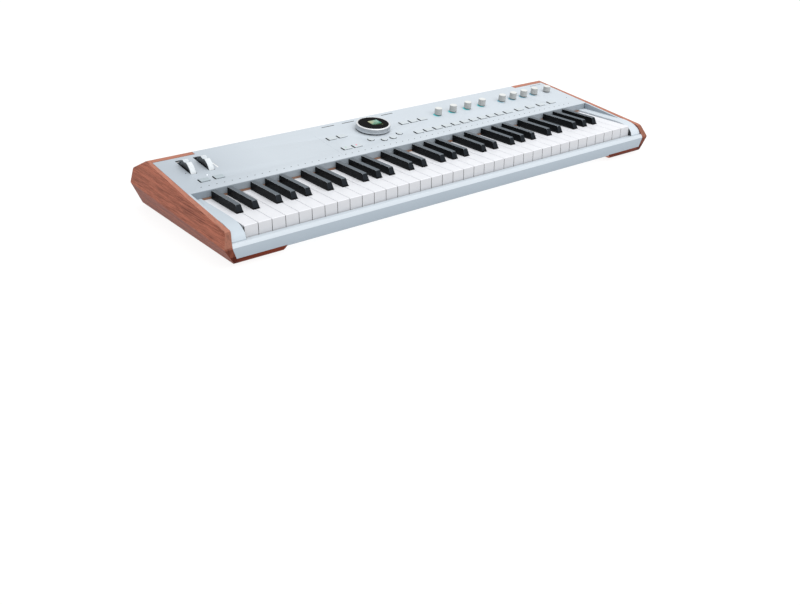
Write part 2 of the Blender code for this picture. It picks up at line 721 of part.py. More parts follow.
def keybed(parts, cutters):
    """Sixty-one keys in moulded combs, as such keybeds are made: C E G B, D F A and the blacks."""
    slots = []
    for octave in range(OCTAVES):
        for centre in black_centres(octave):
            half = BLACK_SLOT_WIDTH / 2
            slots.append(box_mesh((centre - half, BLACK_FRONT_Y - 0.8, 30), (centre + half, 60, 70)))
    slots = cutter("black_key_slots", joined(slots), cutters)
    for octave in range(OCTAVES):
        number = octave + 1
        white_comb(f"white_keys_ceg_{number}", octave, FAMILIES["ceg"]["notes"], "ceg", slots, parts)
        white_comb(f"white_keys_dfa_{number}", octave, FAMILIES["dfa"]["notes"], "dfa", slots, parts)
        black_comb(f"black_keys_{number}", octave, parts)
    white_comb("white_key_top_c", OCTAVES, (0,), "ceg", slots, parts)


def keybed_frame(parts):
    """Chassis, felt and contact board of the keybed."""
    half = KEYBED_HALF_WIDTH
    folded_sheet("keybed_chassis", CHASSIS_LINE, half, CHASSIS_SHEET, "steel", parts, (0, -1, 0))
    felt = box_mesh((-half, FELT_Y[0], WHITE_TOP + 0.35), (half, FELT_Y[1], FALLBOARD_BOTTOM - GAP))
    add("key_felt_strip", felt, "felt", parts)
    contact = box_mesh((2 - half, CONTACT_BOARD_Y[0], CONTACT_BOARD_Z),
                       (half - 2, CONTACT_BOARD_Y[1], CONTACT_BOARD_Z + BOARD))
    add("key_contact_board", contact, "board", parts)


def button(name, x, y, parts):
    cap = outline_mesh([rectangle(0, 0, *BUTTON_SIZE, BUTTON_CORNER)], -BUTTON_DEPTH, BUTTON_RISE)
    add(name, cap, "button", parts, on_panel(x, y), PANEL_TILT)


def keypad(name, xs, y, parts):
    """A row of button caps moulded on one strip under the panel."""
    middle = (xs[0] + xs[-1]) / 2
    shapes = [rectangle(x - middle, 0, *BUTTON_SIZE, BUTTON_CORNER) for x in xs]
    caps = outline_mesh(shapes, PAD_TOP - 1, BUTTON_RISE)
    pad = add(name, caps, "button", parts, on_panel(middle, y), PANEL_TILT)
    wide, deep = (side + 2 * margin for side, margin in zip(BUTTON_SIZE, PAD_MARGIN))
    strip = rectangle(0, 0, xs[-1] - xs[0] + wide, deep, 1.0)
    fuse(pad, [outline_mesh([strip], PAD_TOP - PAD_THICKNESS, PAD_TOP)])


def round_keypad(parts):
    """Four round caps on a curved strip in front of the dial."""
    origin = on_panel(*DIAL_PLACE)
    caps = []
    for angle in ROUND_ARC_ANGLES:
        turn = math.radians(angle)
        caps.append(circle(ROUND_ARC_RADIUS * math.sin(turn), -ROUND_ARC_RADIUS * math.cos(turn),
                           ROUND_BUTTON_RADIUS))
    cap_mesh = outline_mesh(caps, PAD_TOP - 1, BUTTON_RISE)
    pad = add("menu_keypad", cap_mesh, "button", parts, origin, PANEL_TILT)
    band = []
    steps = 8
    for side in (1, -1):
        radius = ROUND_ARC_RADIUS + side * ROUND_PAD_HALF_WIDTH
        for step in range(steps + 1):
            turn = math.radians(side * ROUND_PAD_HALF_ANGLE * (2 * step / steps - 1))
            band.append((radius * math.sin(turn), -radius * math.cos(turn)))
    fuse(pad, [outline_mesh([band], PAD_TOP - PAD_THICKNESS, PAD_TOP)])
    smooth(pad, 40)


def buttons(parts):
    button("octave_down_button", OCTAVE_BUTTON_X[0], ROW_Y, parts)
    button("octave_up_button", OCTAVE_BUTTON_X[1], ROW_Y, parts)
    button("metronome_button", TRANSPORT_X[0], UPPER_ROW_Y, parts)
    button("loop_button", TRANSPORT_X[1], UPPER_ROW_Y, parts)
    button("play_button", TRANSPORT_X[0], ROW_Y, parts)
    button("record_button", TRANSPORT_X[1], ROW_Y, parts)
    keypad("bank_keypad", BANK_X, UPPER_ROW_Y, parts)
    keypad("preset_keypad", preset_places(), ROW_Y, parts)
    keypad("effect_keypad", effect_places(), ROW_Y, parts)
    round_keypad(parts)


def knobs(parts):
    """Encoder knobs with their shafts, and the lower master knob."""
    places = [(f"knob_{i + 1}", x, KNOB_HEIGHT) for i, x in enumerate(KNOB_X)]
    places.append(("master_knob", MASTER_X, MASTER_HEIGHT))
    for name, x, height in places:
        profile = [(0.0, height), (KNOB_RADIUS - 0.8, height), (KNOB_RADIUS - 0.2, height - 0.6),
                   (KNOB_RADIUS, KNOB_FOOT), (SHAFT_RADIUS, KNOB_FOOT), (SHAFT_RADIUS, SHAFT_END),
                   (0.0, SHAFT_END)]
        knob = turned(name, profile, "knob", parts, on_panel(x, KNOB_Y), PANEL_TILT, 20)
        applied(knob)
        smooth(knob)


def dial(parts):
    """Display dial: fixed hub and glass with the turning ring round them."""
    origin = on_panel(*DIAL_PLACE)
    hub_top = GLASS_BOTTOM - GAP
    foot = BOARD_TOP + GAP
    hub = [(0.0, hub_top), (HUB_RADIUS, hub_top), (HUB_RADIUS, HUB_FOOT), (HUB_NECK, HUB_FOOT),
           (HUB_NECK, foot), (0.0, foot)]
    glass = [(0.0, DIAL_HEIGHT), (GLASS_RADIUS - 0.3, DIAL_HEIGHT), (GLASS_RADIUS, DIAL_HEIGHT - 0.3),
             (GLASS_RADIUS, GLASS_BOTTOM), (0.0, GLASS_BOTTOM)]
    ring = [(GLASS_RADIUS + GAP, DIAL_HEIGHT), (DIAL_RADIUS - 0.5, DIAL_HEIGHT),
            (DIAL_RADIUS, DIAL_HEIGHT - 0.5), (DIAL_RADIUS, DIAL_LIFT), (DIAL_CLEARANCE, DIAL_LIFT),
            (DIAL_CLEARANCE, DIAL_LIFT + 2.5), (GLASS_RADIUS + GAP, DIAL_LIFT + 3.5)]
    pieces = (turned("dial_hub", hub, "dark_plastic", parts, origin, PANEL_TILT, 32),
              turned("display_glass", glass, "glass", parts, origin, PANEL_TILT, 40),
              turned("dial_ring", ring, "dial", parts, origin, PANEL_TILT, 40, closed=True))
    for piece in pieces:
        applied(piece)
        smooth(piece)


def wheel_centre(x):
    down = Vector((0.0, math.sin(PANEL_TILT), -math.cos(PANEL_TILT))) * WHEEL_DEPTH * MM
    return on_panel(x, WHEEL_FOOT_Y) + down


def wheels(parts, cutters):
    """Pitch and modulation wheels on stub axles, each with a finger notch."""
    half = WHEEL_WIDTH / 2
    for name, x, left, right in (("pitch_wheel", WHEEL_X[0], AXLE_SHORT, AXLE_LONG),
                                 ("mod_wheel", WHEEL_X[1], AXLE_LONG, AXLE_SHORT)):
        profile = [(0.0, right), (AXLE_RADIUS, right), (AXLE_RADIUS, half), (WHEEL_RADIUS - 0.6, half),
                   (WHEEL_RADIUS, half - 0.6), (WHEEL_RADIUS, 0.6 - half), (WHEEL_RADIUS - 0.6, -half),
                   (AXLE_RADIUS, -half), (AXLE_RADIUS, -left), (0.0, -left)]
        centre = wheel_centre(x)
        wheel = turned(name, profile, "wheel", parts, centre, 0.0, 32)
        wheel.rotation_euler = (0.0, math.pi / 2, 0.0)
        arm = Vector((0.0, math.sin(WHEEL_NOTCH_ANGLE), math.cos(WHEEL_NOTCH_ANGLE)))
        place = centre / MM + arm * (WHEEL_RADIUS + WHEEL_NOTCH_OFFSET)
        notch = rod_mesh(place, WHEEL_NOTCH_RADIUS, WHEEL_WIDTH + 6, "X", 20)
        boolean(wheel, cutter(name + "_notch", notch, cutters), "DIFFERENCE")
        applied(wheel)
        smooth(wheel)


def wheel_bracket(parts):
    """Frame under the panel that carries both wheel axles."""
    centre = wheel_centre(0.0) / MM
    y0, y1 = BRACKET_Y
    low = centre.z - WHEEL_RADIUS - 2.6
    clearance = SHELL_SHEET / math.cos(PANEL_TILT) + GAP
    outline = [(y0, low), (y1, low), (y1, panel_z(y1) - clearance), (y0, panel_z(y0) - clearance)]
    hole = circle(centre.y, centre.z, AXLE_RADIUS + GAP, 12)
    middle = WHEEL_X[0] + AXLE_LONG + 0.5
    starts = (WHEEL_X[0] - AXLE_SHORT - 0.7, middle - UPRIGHT / 2, WHEEL_X[1] + AXLE_SHORT + 0.7 - UPRIGHT)
    plates = []
    for x in starts:
        plate = outline_mesh([outline, hole], x, x + UPRIGHT)
        plate.transform(SIDE_VIEW)
        plates.append(plate)
    frame = add("wheel_bracket", joined(plates), "steel", parts)
    fuse(frame, [box_mesh((starts[0], y0, low - 1.0), (starts[-1] + UPRIGHT, y1, low + 1.0))])


def control_board(parts):
    """Circuit board under the panel with encoder cans and posts up to the sheet."""
    v0, v1, v2 = (panel_v(y) for y in CONTROL_BOARD_Y)
    left, step, right = CONTROL_BOARD_X
    outline = [(left, v0), (right, v0), (right, v2), (step, v2), (step, v1), (left, v1)]
    origin = Vector((0.0, PANEL_FRONT[0], PANEL_FRONT[1])) * MM
    sheet = outline_mesh([outline], BOARD_TOP - BOARD, BOARD_TOP)
    board = add("control_board", sheet, "board", parts, origin, PANEL_TILT)
    cans = [rectangle(x, panel_v(KNOB_Y), ENCODER_WIDTH, ENCODER_WIDTH) for x in KNOB_X + (MASTER_X,)]
    posts = [circle(x, v1 + 10.0, 3.0, 8) for x in REAR_POST_X]
    posts += [circle(x, v0 + 12.0, 3.0, 8) for x in FRONT_POST_X]
    low = BOARD_TOP - 0.5
    fuse(board, [outline_mesh(cans, low, ENCODER_TOP), outline_mesh(posts, low, -SHELL_SHEET - GAP)])


def main_board(parts):
    """Main circuit board on posts over the bottom tray."""
    (x0, x1), (y0, y1), base = MAIN_BOARD_X, MAIN_BOARD_Y, MAIN_BOARD_Z
    board = add("main_board", box_mesh((x0, y0, base), (x1, y1, base + BOARD)), "board", parts)
    floor = SHELL_BOTTOM + SHELL_SHEET + GAP
    height = base - floor + 0.5
    posts = [rod_mesh((x, y, floor + height / 2), MAIN_POST_RADIUS, height, "Z", 10)
             for x in MAIN_POST_X for y in MAIN_POST_Y]
    chips = [box_mesh((left, front, base + BOARD - 0.5), (right, rear, base + rise))
             for left, front, right, rear, rise in CHIPS]
    fuse(board, [joined(posts), joined(chips)])


def bottom_tray(parts, fit_hull):
    """Folded floor of the body with a lip along its front and rear."""
    front, rear = TRAY_LINE_Y
    line = [(front, TRAY_FRONT_LIP), (front, SHELL_BOTTOM), (rear, SHELL_BOTTOM), (rear, TRAY_REAR_LIP)]
    tray = folded_sheet("bottom_tray", line, HALF_WIDTH, SHELL_SHEET, "shell", parts, (0, -1, 0))
    boolean(tray, fit_hull, "INTERSECT")
    applied(tray)


def socket_window(x0, x1):
    return rectangle((x0 + x1) / 2, SOCKET_Z, x1 - x0 + 2 * GAP, SOCKET_HEIGHT + 2 * GAP)


def row_span(row):
    x0, count = row
    return x0, x0 + count * JACK_PITCH


def rear_panel(parts, cutters, fit_hull):
    """Flat rear plate with a window for each socket block and the power button."""
    top = REAR_CORNER[1] - REAR_DROP - GAP
    plate = rectangle(0, (SHELL_BOTTOM + top) / 2, 2 * HALF_WIDTH, top - SHELL_BOTTOM)
    windows = [socket_window(*row_span(PEDAL_JACKS_X)), socket_window(*row_span(AUDIO_JACKS_X)),
               socket_window(PORTS_X[0], PORTS_X[0] + PORTS_X[1]),
               circle(POWER_BUTTON_X, SOCKET_Z, POWER_BUTTON_RADIUS + 0.4, 20)]
    panel = add("rear_panel", rear_plate([plate], HALF_DEPTH - REAR_SHEET, HALF_DEPTH), "shell", parts)
    boolean(panel, fit_hull, "INTERSECT")
    holes = cutter("rear_panel_windows", rear_plate(windows, HALF_DEPTH - 10, HALF_DEPTH + 10), cutters)
    boolean(panel, holes, "DIFFERENCE")
    applied(panel)


def jack_row(name, row, parts, cutters):
    """Jack sockets in one moulded block: a collar and a bore each."""
    x0, x1 = row_span(row)
    half = SOCKET_HEIGHT / 2
    block = add(name, box_mesh((x0, SOCKET_FACE_Y - SOCKET_DEPTH, SOCKET_Z - half),
                               (x1, SOCKET_FACE_Y, SOCKET_Z + half)), "dark_plastic", parts)
    centres = [x0 + JACK_PITCH * (i + 0.5) for i in range(row[1])]
    collar_length = HALF_DEPTH - SOCKET_FACE_Y + 1.0
    collars = [rod_mesh((x, HALF_DEPTH - collar_length / 2, SOCKET_Z), JACK_COLLAR, collar_length, "Y")
               for x in centres]
    fuse(block, [joined(collars)])
    bore_y = HALF_DEPTH + 10 - SOCKET_BORE_DEPTH
    bores = [rod_mesh((x, bore_y, SOCKET_Z), JACK_BORE, 20, "Y") for x in centres]
    boolean(block, cutter(name + "_bores", joined(bores), cutters), "DIFFERENCE")
    applied(block)
    smooth(block, 40)


def digital_ports(parts, cutters):
    """Two round sockets, two flat ones and the power inlet in one block."""
    x0, length = PORTS_X
    half = SOCKET_HEIGHT / 2
    block = add("digital_ports", box_mesh((x0, HALF_DEPTH - SOCKET_DEPTH, SOCKET_Z - half),
                                          (x0 + length, HALF_DEPTH, SOCKET_Z + half)), "dark_plastic", parts)
    near = HALF_DEPTH - PORT_DEPTH
    tools = [rod_mesh((x0 + offset, near + 10, SOCKET_Z), ROUND_PORT_RADIUS, 20, "Y", 20)
             for offset in ROUND_PORTS]
    tools += [box_mesh((x0 + left, near, SOCKET_Z - rise), (x0 + right, near + 20, SOCKET_Z + rise))
              for left, right, rise in FLAT_PORTS]
    tools.append(rod_mesh((x0 + POWER_INLET[0], near + 10, SOCKET_Z), POWER_INLET[1], 20, "Y"))
    boolean(block, cutter("digital_ports_sockets", joined(tools), cutters), "DIFFERENCE")
    applied(block)
    smooth(block, 40)


def power_button(parts):
    """Round push button that stands slightly behind the rear face."""
    origin = Vector((POWER_BUTTON_X, HALF_DEPTH, SOCKET_Z)) * MM
    body = rod_mesh((0, -POWER_BUTTON_LENGTH / 2 - 0.1, 0), POWER_BUTTON_RADIUS, POWER_BUTTON_LENGTH, "Y", 20)
    knob = add("power_button", body, "dark_plastic", parts, origin)
    smooth(knob, 40)


def feet(parts):
    """A rubber strip under each bottom board."""
    place, width, length, corner = FOOT_STRIP
    for side, name in ((-1, "left_foot_strip"), (1, "right_foot_strip")):
        shape = rectangle(side * place, 0.0, width, length, corner)
        add(name, outline_mesh([shape], 0.0, FOOT_HEIGHT - GAP), "rubber", parts)


def build():
    clear_scene()
    parts = collection("stage_keyboard")
    cutters = collection("cutters")
    wood_hull = lean_hull("wood_sides", WOOD_RIDGE, LEAN_SECTIONS["wood"], 0.0, cutters)
    shell_hull = lean_hull("shell_sides", SHELL_RIDGE, LEAN_SECTIONS["shell"], 0.0, cutters)
    fit_hull = lean_hull("shell_fit", SHELL_RIDGE, LEAN_SECTIONS["shell"], GAP, cutters)
    wood_caps(parts, cutters, wood_hull, shell_void(cutters, shell_hull))
    bottom_tray(parts, fit_hull)
    front_rail(parts, fit_hull)
    rear_panel(parts, cutters, fit_hull)
    key_blocks(parts, cutters, fit_hull)
    control_panel(parts, cutters, fit_hull)
    keybed_frame(parts)
    keybed(parts, cutters)
    buttons(parts)
    knobs(parts)
    dial(parts)
    wheels(parts, cutters)
    wheel_bracket(parts)
    control_board(parts)
    main_board(parts)
    jack_row("pedal_jacks", PEDAL_JACKS_X, parts, cutters)
    jack_row("audio_jacks", AUDIO_JACKS_X, parts, cutters)
    digital_ports(parts, cutters)
    power_button(parts)
    feet(parts)


build()
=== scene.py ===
"""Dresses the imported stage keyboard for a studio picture.

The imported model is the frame: each piece made here sits where its nodes are and rides on their
bodies. Lengths are metres, and MM turns the millimetres of the small details into them.
"""

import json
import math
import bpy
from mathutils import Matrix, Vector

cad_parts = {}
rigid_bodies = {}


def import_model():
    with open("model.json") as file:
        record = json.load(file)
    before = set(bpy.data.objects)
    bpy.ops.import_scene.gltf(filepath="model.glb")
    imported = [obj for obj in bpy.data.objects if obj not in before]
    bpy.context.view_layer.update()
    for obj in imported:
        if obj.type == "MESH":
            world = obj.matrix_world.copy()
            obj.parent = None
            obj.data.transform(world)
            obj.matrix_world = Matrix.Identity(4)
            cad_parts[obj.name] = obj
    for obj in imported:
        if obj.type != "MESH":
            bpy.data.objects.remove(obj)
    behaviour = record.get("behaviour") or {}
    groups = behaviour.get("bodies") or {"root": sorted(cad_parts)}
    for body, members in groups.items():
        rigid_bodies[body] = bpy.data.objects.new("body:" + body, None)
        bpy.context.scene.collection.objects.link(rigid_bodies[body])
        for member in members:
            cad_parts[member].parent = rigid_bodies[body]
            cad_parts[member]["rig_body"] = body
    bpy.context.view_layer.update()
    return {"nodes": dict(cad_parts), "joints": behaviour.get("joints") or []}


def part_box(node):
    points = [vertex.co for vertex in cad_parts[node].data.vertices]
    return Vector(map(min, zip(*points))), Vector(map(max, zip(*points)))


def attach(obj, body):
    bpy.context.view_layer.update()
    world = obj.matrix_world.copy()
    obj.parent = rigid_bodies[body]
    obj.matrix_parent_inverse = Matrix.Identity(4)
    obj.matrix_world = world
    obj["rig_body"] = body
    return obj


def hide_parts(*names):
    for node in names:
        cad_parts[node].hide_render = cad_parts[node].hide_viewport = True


bl_info = {
    "name": "Stage Keyboard Dress",
    "version": (1, 0, 0),
    "blender": (4, 5, 0),
    "location": "View3D > Sidebar > Keyboard",
    "description": "Builds the finishes and fine pieces of a stage keyboard round its packed frame",
    "category": "Object",
}

import bmesh
import bpy
from bpy.props import FloatProperty, FloatVectorProperty, PointerProperty
from bpy.types import Operator, Panel, PropertyGroup
from mathutils import Matrix, Vector

MM = 0.001
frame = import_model()
JOINTS = {joint["name"]: joint for joint in frame["joints"]}
CASE = "case"

# The panel's plane, from the dial: its normal, the slope's direction and the tilt about X.
NORMAL = Vector(JOINTS["dial_ring_turn"]["axis"]).normalized()
TILT = math.atan2(-NORMAL.y, NORMAL.z)
DIAL_PLACE = Vector(JOINTS["dial_ring_turn"]["pos_m"])

# Layout of the panel in millimetres, X and the Y of the foot point.
ROW_Y = 16.3
UPPER_ROW_Y = 63.5
PRESET_FIRST_X = 34.9
PRESET_PITCH = 22.25
PRESET_COUNT = 11
BANK_X = (36.0, 58.2, 80.4)
EFFECT_FIRST_X = 288.0
EFFECT_PITCH = 29.8
EFFECT_COUNT = 4
SINGLE_BUTTONS = {
    "octave_down_button": (-400.4, ROW_Y),
    "octave_up_button": (-374.3, ROW_Y),
    "metronome_button": (-126.0, UPPER_ROW_Y),
    "loop_button": (-103.8, UPPER_ROW_Y),
    "play_button": (-126.0, ROW_Y),
    "record_button": (-103.8, ROW_Y),
}
ROUND_BUTTON_RADIUS = 5.8
ROUND_ARC_RADIUS = 49.5
ROUND_ARC_ANGLES = (-40.0, -11.4, 11.4, 40.0)
BUTTON_WIDTH = 17.0
BUTTON_LENGTH = 11.3
BUTTON_RISE = 1.3
BUTTON_FOOT = -6.4
HOLE_MARGIN = 0.85
CAP_SHIFT = (0.45, -0.40)
KEY_PITCH = 23.5
WHITE_COUNT = 36
BLACK_PLACES = ((1, -2.4), (2, 2.4), (4, -3.2), (5, 0.0), (6, 3.2))
BLACK_HALF = 5.65
KEYBED_HALF = 429.0
LIGHT_ROW_Y = -5.0
KNOB_RADIUS = 7.2
KNOB_HEIGHT = 13.7
LAST_KNOB_HEIGHT = 11.9
WHEEL_RADIUS = 25.2
WHEEL_HALF_WIDTH = 4.8
WHEEL_RIBS = 72

# The wheels' finger scoop: its turn from upright, its own radius and its centre's distance from the axle.
SCOOP_TURN = -0.14
SCOOP_RADIUS = 8.0
SCOOP_REACH = 30.5

# In metres: the inner walls of the key blocks and of the wooden side boards from the middle, the line
# in front of which the gaps between the keys lie in deep shade, and the fold in the wood's front edge.
BLOCK_WALL_X = 0.4243
SIDE_BOARD_X = 0.4405
KEY_FRONT_Y = -0.148
WOOD_FOLD_Z = 0.017

# Where the shapes of the rail and of the wood begin to be drawn down, in metres.
RAIL_LIP_Z = 0.0162
WOOD_RETURN_Z = 0.0132


class ShellSettings(PropertyGroup):
    paint: FloatVectorProperty(
        name="Paint", description="Colour of the painted metal body", subtype="COLOR",
        default=(0.597, 0.656, 0.710), min=0.0, max=1.0)
    paint_roughness: FloatProperty(
        name="Paint roughness", description="How matt the painted body is", default=0.42, min=0.0, max=1.0)
    wood: FloatVectorProperty(
        name="Wood", description="Middle tone of the wooden ends", subtype="COLOR",
        default=(0.445, 0.150, 0.094), min=0.0, max=1.0)
    edge: FloatProperty(
        name="Edge rounding", description="Radius of the folded and cut metal edges", unit="LENGTH",
        default=0.35 * MM, min=0.0, max=2.0 * MM)
    wood_edge: FloatProperty(
        name="Wood edge rounding", description="Radius of the wooden ends' edges", unit="LENGTH",
        default=0.9 * MM, min=0.0, max=3.0 * MM)


class KeySettings(PropertyGroup):
    white: FloatVectorProperty(
        name="White keys", description="Colour of the white keys", subtype="COLOR",
        default=(0.865, 0.88, 0.92), min=0.0, max=1.0)
    black: FloatVectorProperty(
        name="Black keys", description="Colour of the black keys", subtype="COLOR",
        default=(0.128, 0.150, 0.172), min=0.0, max=1.0)
    felt: FloatVectorProperty(
        name="Felt", description="Colour of the felt behind the keys", subtype="COLOR",
        default=(0.24, 0.125, 0.080), min=0.0, max=1.0)
    edge: FloatProperty(
        name="Key edge rounding", description="Radius of the keys' long edges", unit="LENGTH",
        default=0.45 * MM, min=0.0, max=2.0 * MM)
    black_edge: FloatProperty(
        name="Black key rounding", description="Radius of the black keys' edges", unit="LENGTH",
        default=1.1 * MM, min=0.0, max=2.0 * MM)


class ControlSettings(PropertyGroup):
    cap: FloatVectorProperty(
        name="Buttons", description="Colour of the button caps", subtype="COLOR",
        default=(0.60, 0.655, 0.69), min=0.0, max=1.0)
    octave_cap: FloatVectorProperty(
        name="Octave buttons", description="Colour of the two octave button caps", subtype="COLOR",
        default=(0.45, 0.52, 0.56), min=0.0, max=1.0)
    knob: FloatVectorProperty(
        name="Knobs", description="Colour of the knobs", subtype="COLOR",
        default=(0.74, 0.76, 0.75), min=0.0, max=1.0)
    ring: FloatVectorProperty(
        name="Dial ring", description="Colour of the turned metal ring", subtype="COLOR",
        default=(0.51, 0.54, 0.57), min=0.0, max=1.0)
    glow: FloatVectorProperty(
        name="Knob light", description="Colour of the lights at the feet of the first knobs", subtype="COLOR",
        default=(0.05, 0.62, 0.66), min=0.0, max=1.0)
    second_glow: FloatVectorProperty(
        name="Second knob light", description="Colour of the lights at the feet of the other knobs",
        subtype="COLOR", default=(0.22, 0.56, 0.70), min=0.0, max=1.0)


class StageSettings(PropertyGroup):
    lens: FloatProperty(
        name="Lens", description="Focal length on a 36 mm sensor", unit="CAMERA", default=42.957,
        min=10.0, max=200.0)
    exposure: FloatProperty(
        name="Exposure", description="Exposure of the picture in stops", default=0.0, min=-4.0, max=4.0)
    floor: FloatVectorProperty(
        name="Floor", description="Colour of the floor", subtype="COLOR",
        default=(0.13, 0.13, 0.13), min=0.0, max=1.0)
    floor_glow: FloatProperty(
        name="Floor glow", description="Light the studio floor gives off itself", default=0.90,
        min=0.0, max=2.0)
    sky: FloatProperty(
        name="Room light", description="Strength of the white room around the object", default=0.60,
        min=0.0, max=5.0)
    key: FloatProperty(
        name="Front light", description="Strength of the soft light above the front", default=1.4,
        min=0.0, max=20.0)
    side: FloatProperty(
        name="Right light", description="Power of the wide light above the right end", unit="POWER",
        default=4.2, min=0.0, max=100.0)


class Signal:
    """A value in a material's nodes. Arithmetic on it adds Math nodes."""

    def __init__(self, finish, socket):
        self.finish = finish
        self.socket = socket

    def math(self, operation, *values):
        return self.finish.node("Math", {"operation": operation}, dict(enumerate(values)))

    def __add__(self, other):
        return self.math("ADD", self, other)

    def __radd__(self, other):
        return self.math("ADD", other, self)

    def __sub__(self, other):
        return self.math("SUBTRACT", self, other)

    def __rsub__(self, other):
        return self.math("SUBTRACT", other, self)

    def __mul__(self, other):
        return self.math("MULTIPLY", self, other)

    def __rmul__(self, other):
        return self.math("MULTIPLY", other, self)

    def __truediv__(self, other):
        return self.math("DIVIDE", self, other)

    def __rtruediv__(self, other):
        return self.math("DIVIDE", other, self)

    def __gt__(self, other):
        return self.math("GREATER_THAN", self, other)

    def __lt__(self, other):
        return self.math("LESS_THAN", self, other)

    def __abs__(self):
        return self.math("ABSOLUTE", self)

    def apply(self, operation, *others):
        return self.math(operation, self, *others)


class Finish:
    """A procedural material round one Principled shader."""

    def __init__(self, name, colour=(0.5, 0.5, 0.5), roughness=0.5, **constants):
        self.colour = tuple(colour)
        self.material = bpy.data.materials.new(name)
        self.material.use_nodes = True
        self.tree = self.material.node_tree
        self.shader = self.tree.nodes["Principled BSDF"]
        self.set("Base Color", rgba(colour))
        self.set("Roughness", roughness)
        for socket, value in constants.items():
            self.set(socket.replace("_", " "), value)
        self.material.diffuse_color = rgba(colour)
        # The point on the surface in the piece's own frame.
        self.place = self.node("TexCoord", output="Object")

    def set(self, name, value):
        self.feed(self.shader.inputs[name], value)

    def feed(self, socket, value):
        if isinstance(value, Signal):
            self.tree.links.new(value.socket, socket)
        else:
            socket.default_value = value

    def node(self, kind, settings=None, values=None, output=0):
        """Adds one node: its settings first, then the values or links of its sockets."""
        made = self.tree.nodes.new("ShaderNode" + kind)
        for key, value in (settings or {}).items():
            if key == "stops":
                self.fill_ramp(made.color_ramp, value)
            else:
                setattr(made, key, value)
        for key, value in (values or {}).items():
            self.feed(made.inputs[key], value)
        return Signal(self, made.outputs[output])

    def fill_ramp(self, ramp, stops):
        while len(ramp.elements) < len(stops):
            ramp.elements.new(1.0)
        for element, (place, colour) in zip(ramp.elements, stops):
            element.position = place
            element.color = rgba(colour)

    def axes(self, vector=None):
        """X, Y and Z of a vector, or of the place."""
        split = self.node("SeparateXYZ", values={0: self.place if vector is None else vector})
        owner = split.socket.node
        return [Signal(self, owner.outputs[index]) for index in range(3)]

    def stretched(self, scale, vector=None):
        """A vector, or the place, with each axis scaled."""
        values = {0: self.place if vector is None else vector, 1: scale}
        return self.node("VectorMath", {"operation": "MULTIPLY"}, values)

    def noise(self, scale, detail=3.0, roughness=0.55, distortion=0.0, at=None):
        values = {"Vector": self.place if at is None else at, "Scale": scale, "Detail": detail,
                  "Roughness": roughness, "Distortion": distortion}
        return self.node("TexNoise", values=values, output="Fac")

    def mix(self, factor, first, second, blend="MIX"):
        settings = {"data_type": "RGBA", "blend_type": blend, "clamp_factor": True}
        return self.node("Mix", settings, {0: factor, 6: first, 7: second}, 2)

    def mix_vector(self, factor, first, second):
        return self.node("Mix", {"data_type": "VECTOR"}, {0: factor, 4: first, 5: second}, 1)

    def shades(self, mask, dark, light):
        """A colour that runs between two shades by a mask."""
        return self.mix(mask, rgba(dark), rgba(light))

    def tones(self, mask, low, high):
        """The finish's own colour, run between two strengths by a mask."""
        return self.shades(mask, shade(self.colour, low), shade(self.colour, high))

    def facing(self):
        """X, Y and Z of the flat normal."""
        return self.axes(self.node("NewGeometry", output="True Normal"))

    def shaded(self, colour, *masks):
        """The colour darkened in turn by pairs of a mask and the share of each primary kept there."""
        for mask, keep in masks:
            share = keep if isinstance(keep, tuple) else (keep, keep, keep)
            colour = self.mix(mask, colour, self.mix(1.0, colour, rgba(share), "MULTIPLY"))
        return colour

    def done(self, colour, roughness, height, depth, strength):
        """Feeds colour, roughness and a bump as deep as that many millimetres. Returns the material."""
        self.set("Base Color", colour)
        self.set("Roughness", roughness)
        values = {"Height": height, "Distance": depth * MM, "Strength": strength}
        self.set("Normal", self.node("Bump", values=values, output="Normal"))
        return self.material

    def lit(self, colour, speck_scale, strength):
        """Lights the surface in a faintly speckled colour."""
        speck = self.noise(speck_scale, 2.0)
        self.set("Emission Color", self.shades(speck, shade(colour, 0.85), shade(colour, 1.15)))
        self.set("Emission Strength", strength)
        return self.material


def rgba(colour):
    return tuple(colour[:3]) + (1.0,)


def shade(colour, factor):
    return tuple(min(1.0, part * factor) for part in colour)


def ramp(value, start, end):
    """Runs from zero at the start to one at the end."""
    return value.finish.node("MapRange", values={"Value": value, 1: start, 2: end})


def band(value, low, high):
    """One inside the two limits and zero outside."""
    return (value > low) * (value < high)


def paint_finish(name, colour, roughness, shadows):
    """Satin powder coat: a fine orange peel, a faint cloudiness and shade where the light is lost."""
    finish = Finish(name, colour, roughness, Specular_IOR_Level=0.35)
    cloud = finish.noise(9.0, 2.0)
    grain = finish.noise(1500.0, 2.0, 0.6)
    body = finish.tones(cloud * 0.7 + grain * 0.3, 0.955, 1.045)
    body = finish.shaded(body, *shadows(*finish.axes(), *finish.facing()))
    return finish.done(body, roughness - 0.06 + grain * 0.10 + cloud * 0.04, grain, 0.02, 0.55)


# The shade on painted pieces. Each function takes the place and the flat normal by their axes, and gives
# pairs of a mask and the share of each primary that is kept there.

def rail_shadows(x, y, z, across, front, up):
    """Shade below the rail's nose, a little deeper towards its lower lip."""
    below = up < 0.1
    return (below, (0.60, 0.635, 0.665)), (ramp(z, 28.0 * MM, 10.0 * MM) * below, (0.88, 0.89, 0.90))


def block_shadows(x, y, z, across, front, up):
    """Painted shade in the gap beside the keys, on the right block's wall and over the whole left block."""
    gap = (abs(x) < BLOCK_WALL_X) * (z < 54.5 * MM)
    right_wall = (across < -0.5) * (x > BLOCK_WALL_X)
    return ((gap, 0.55), (gap * (y < KEY_FRONT_Y), 0.10), (right_wall, (0.57, 0.60, 0.63)),
            (x < 0.0, (0.87, 0.895, 0.91)))


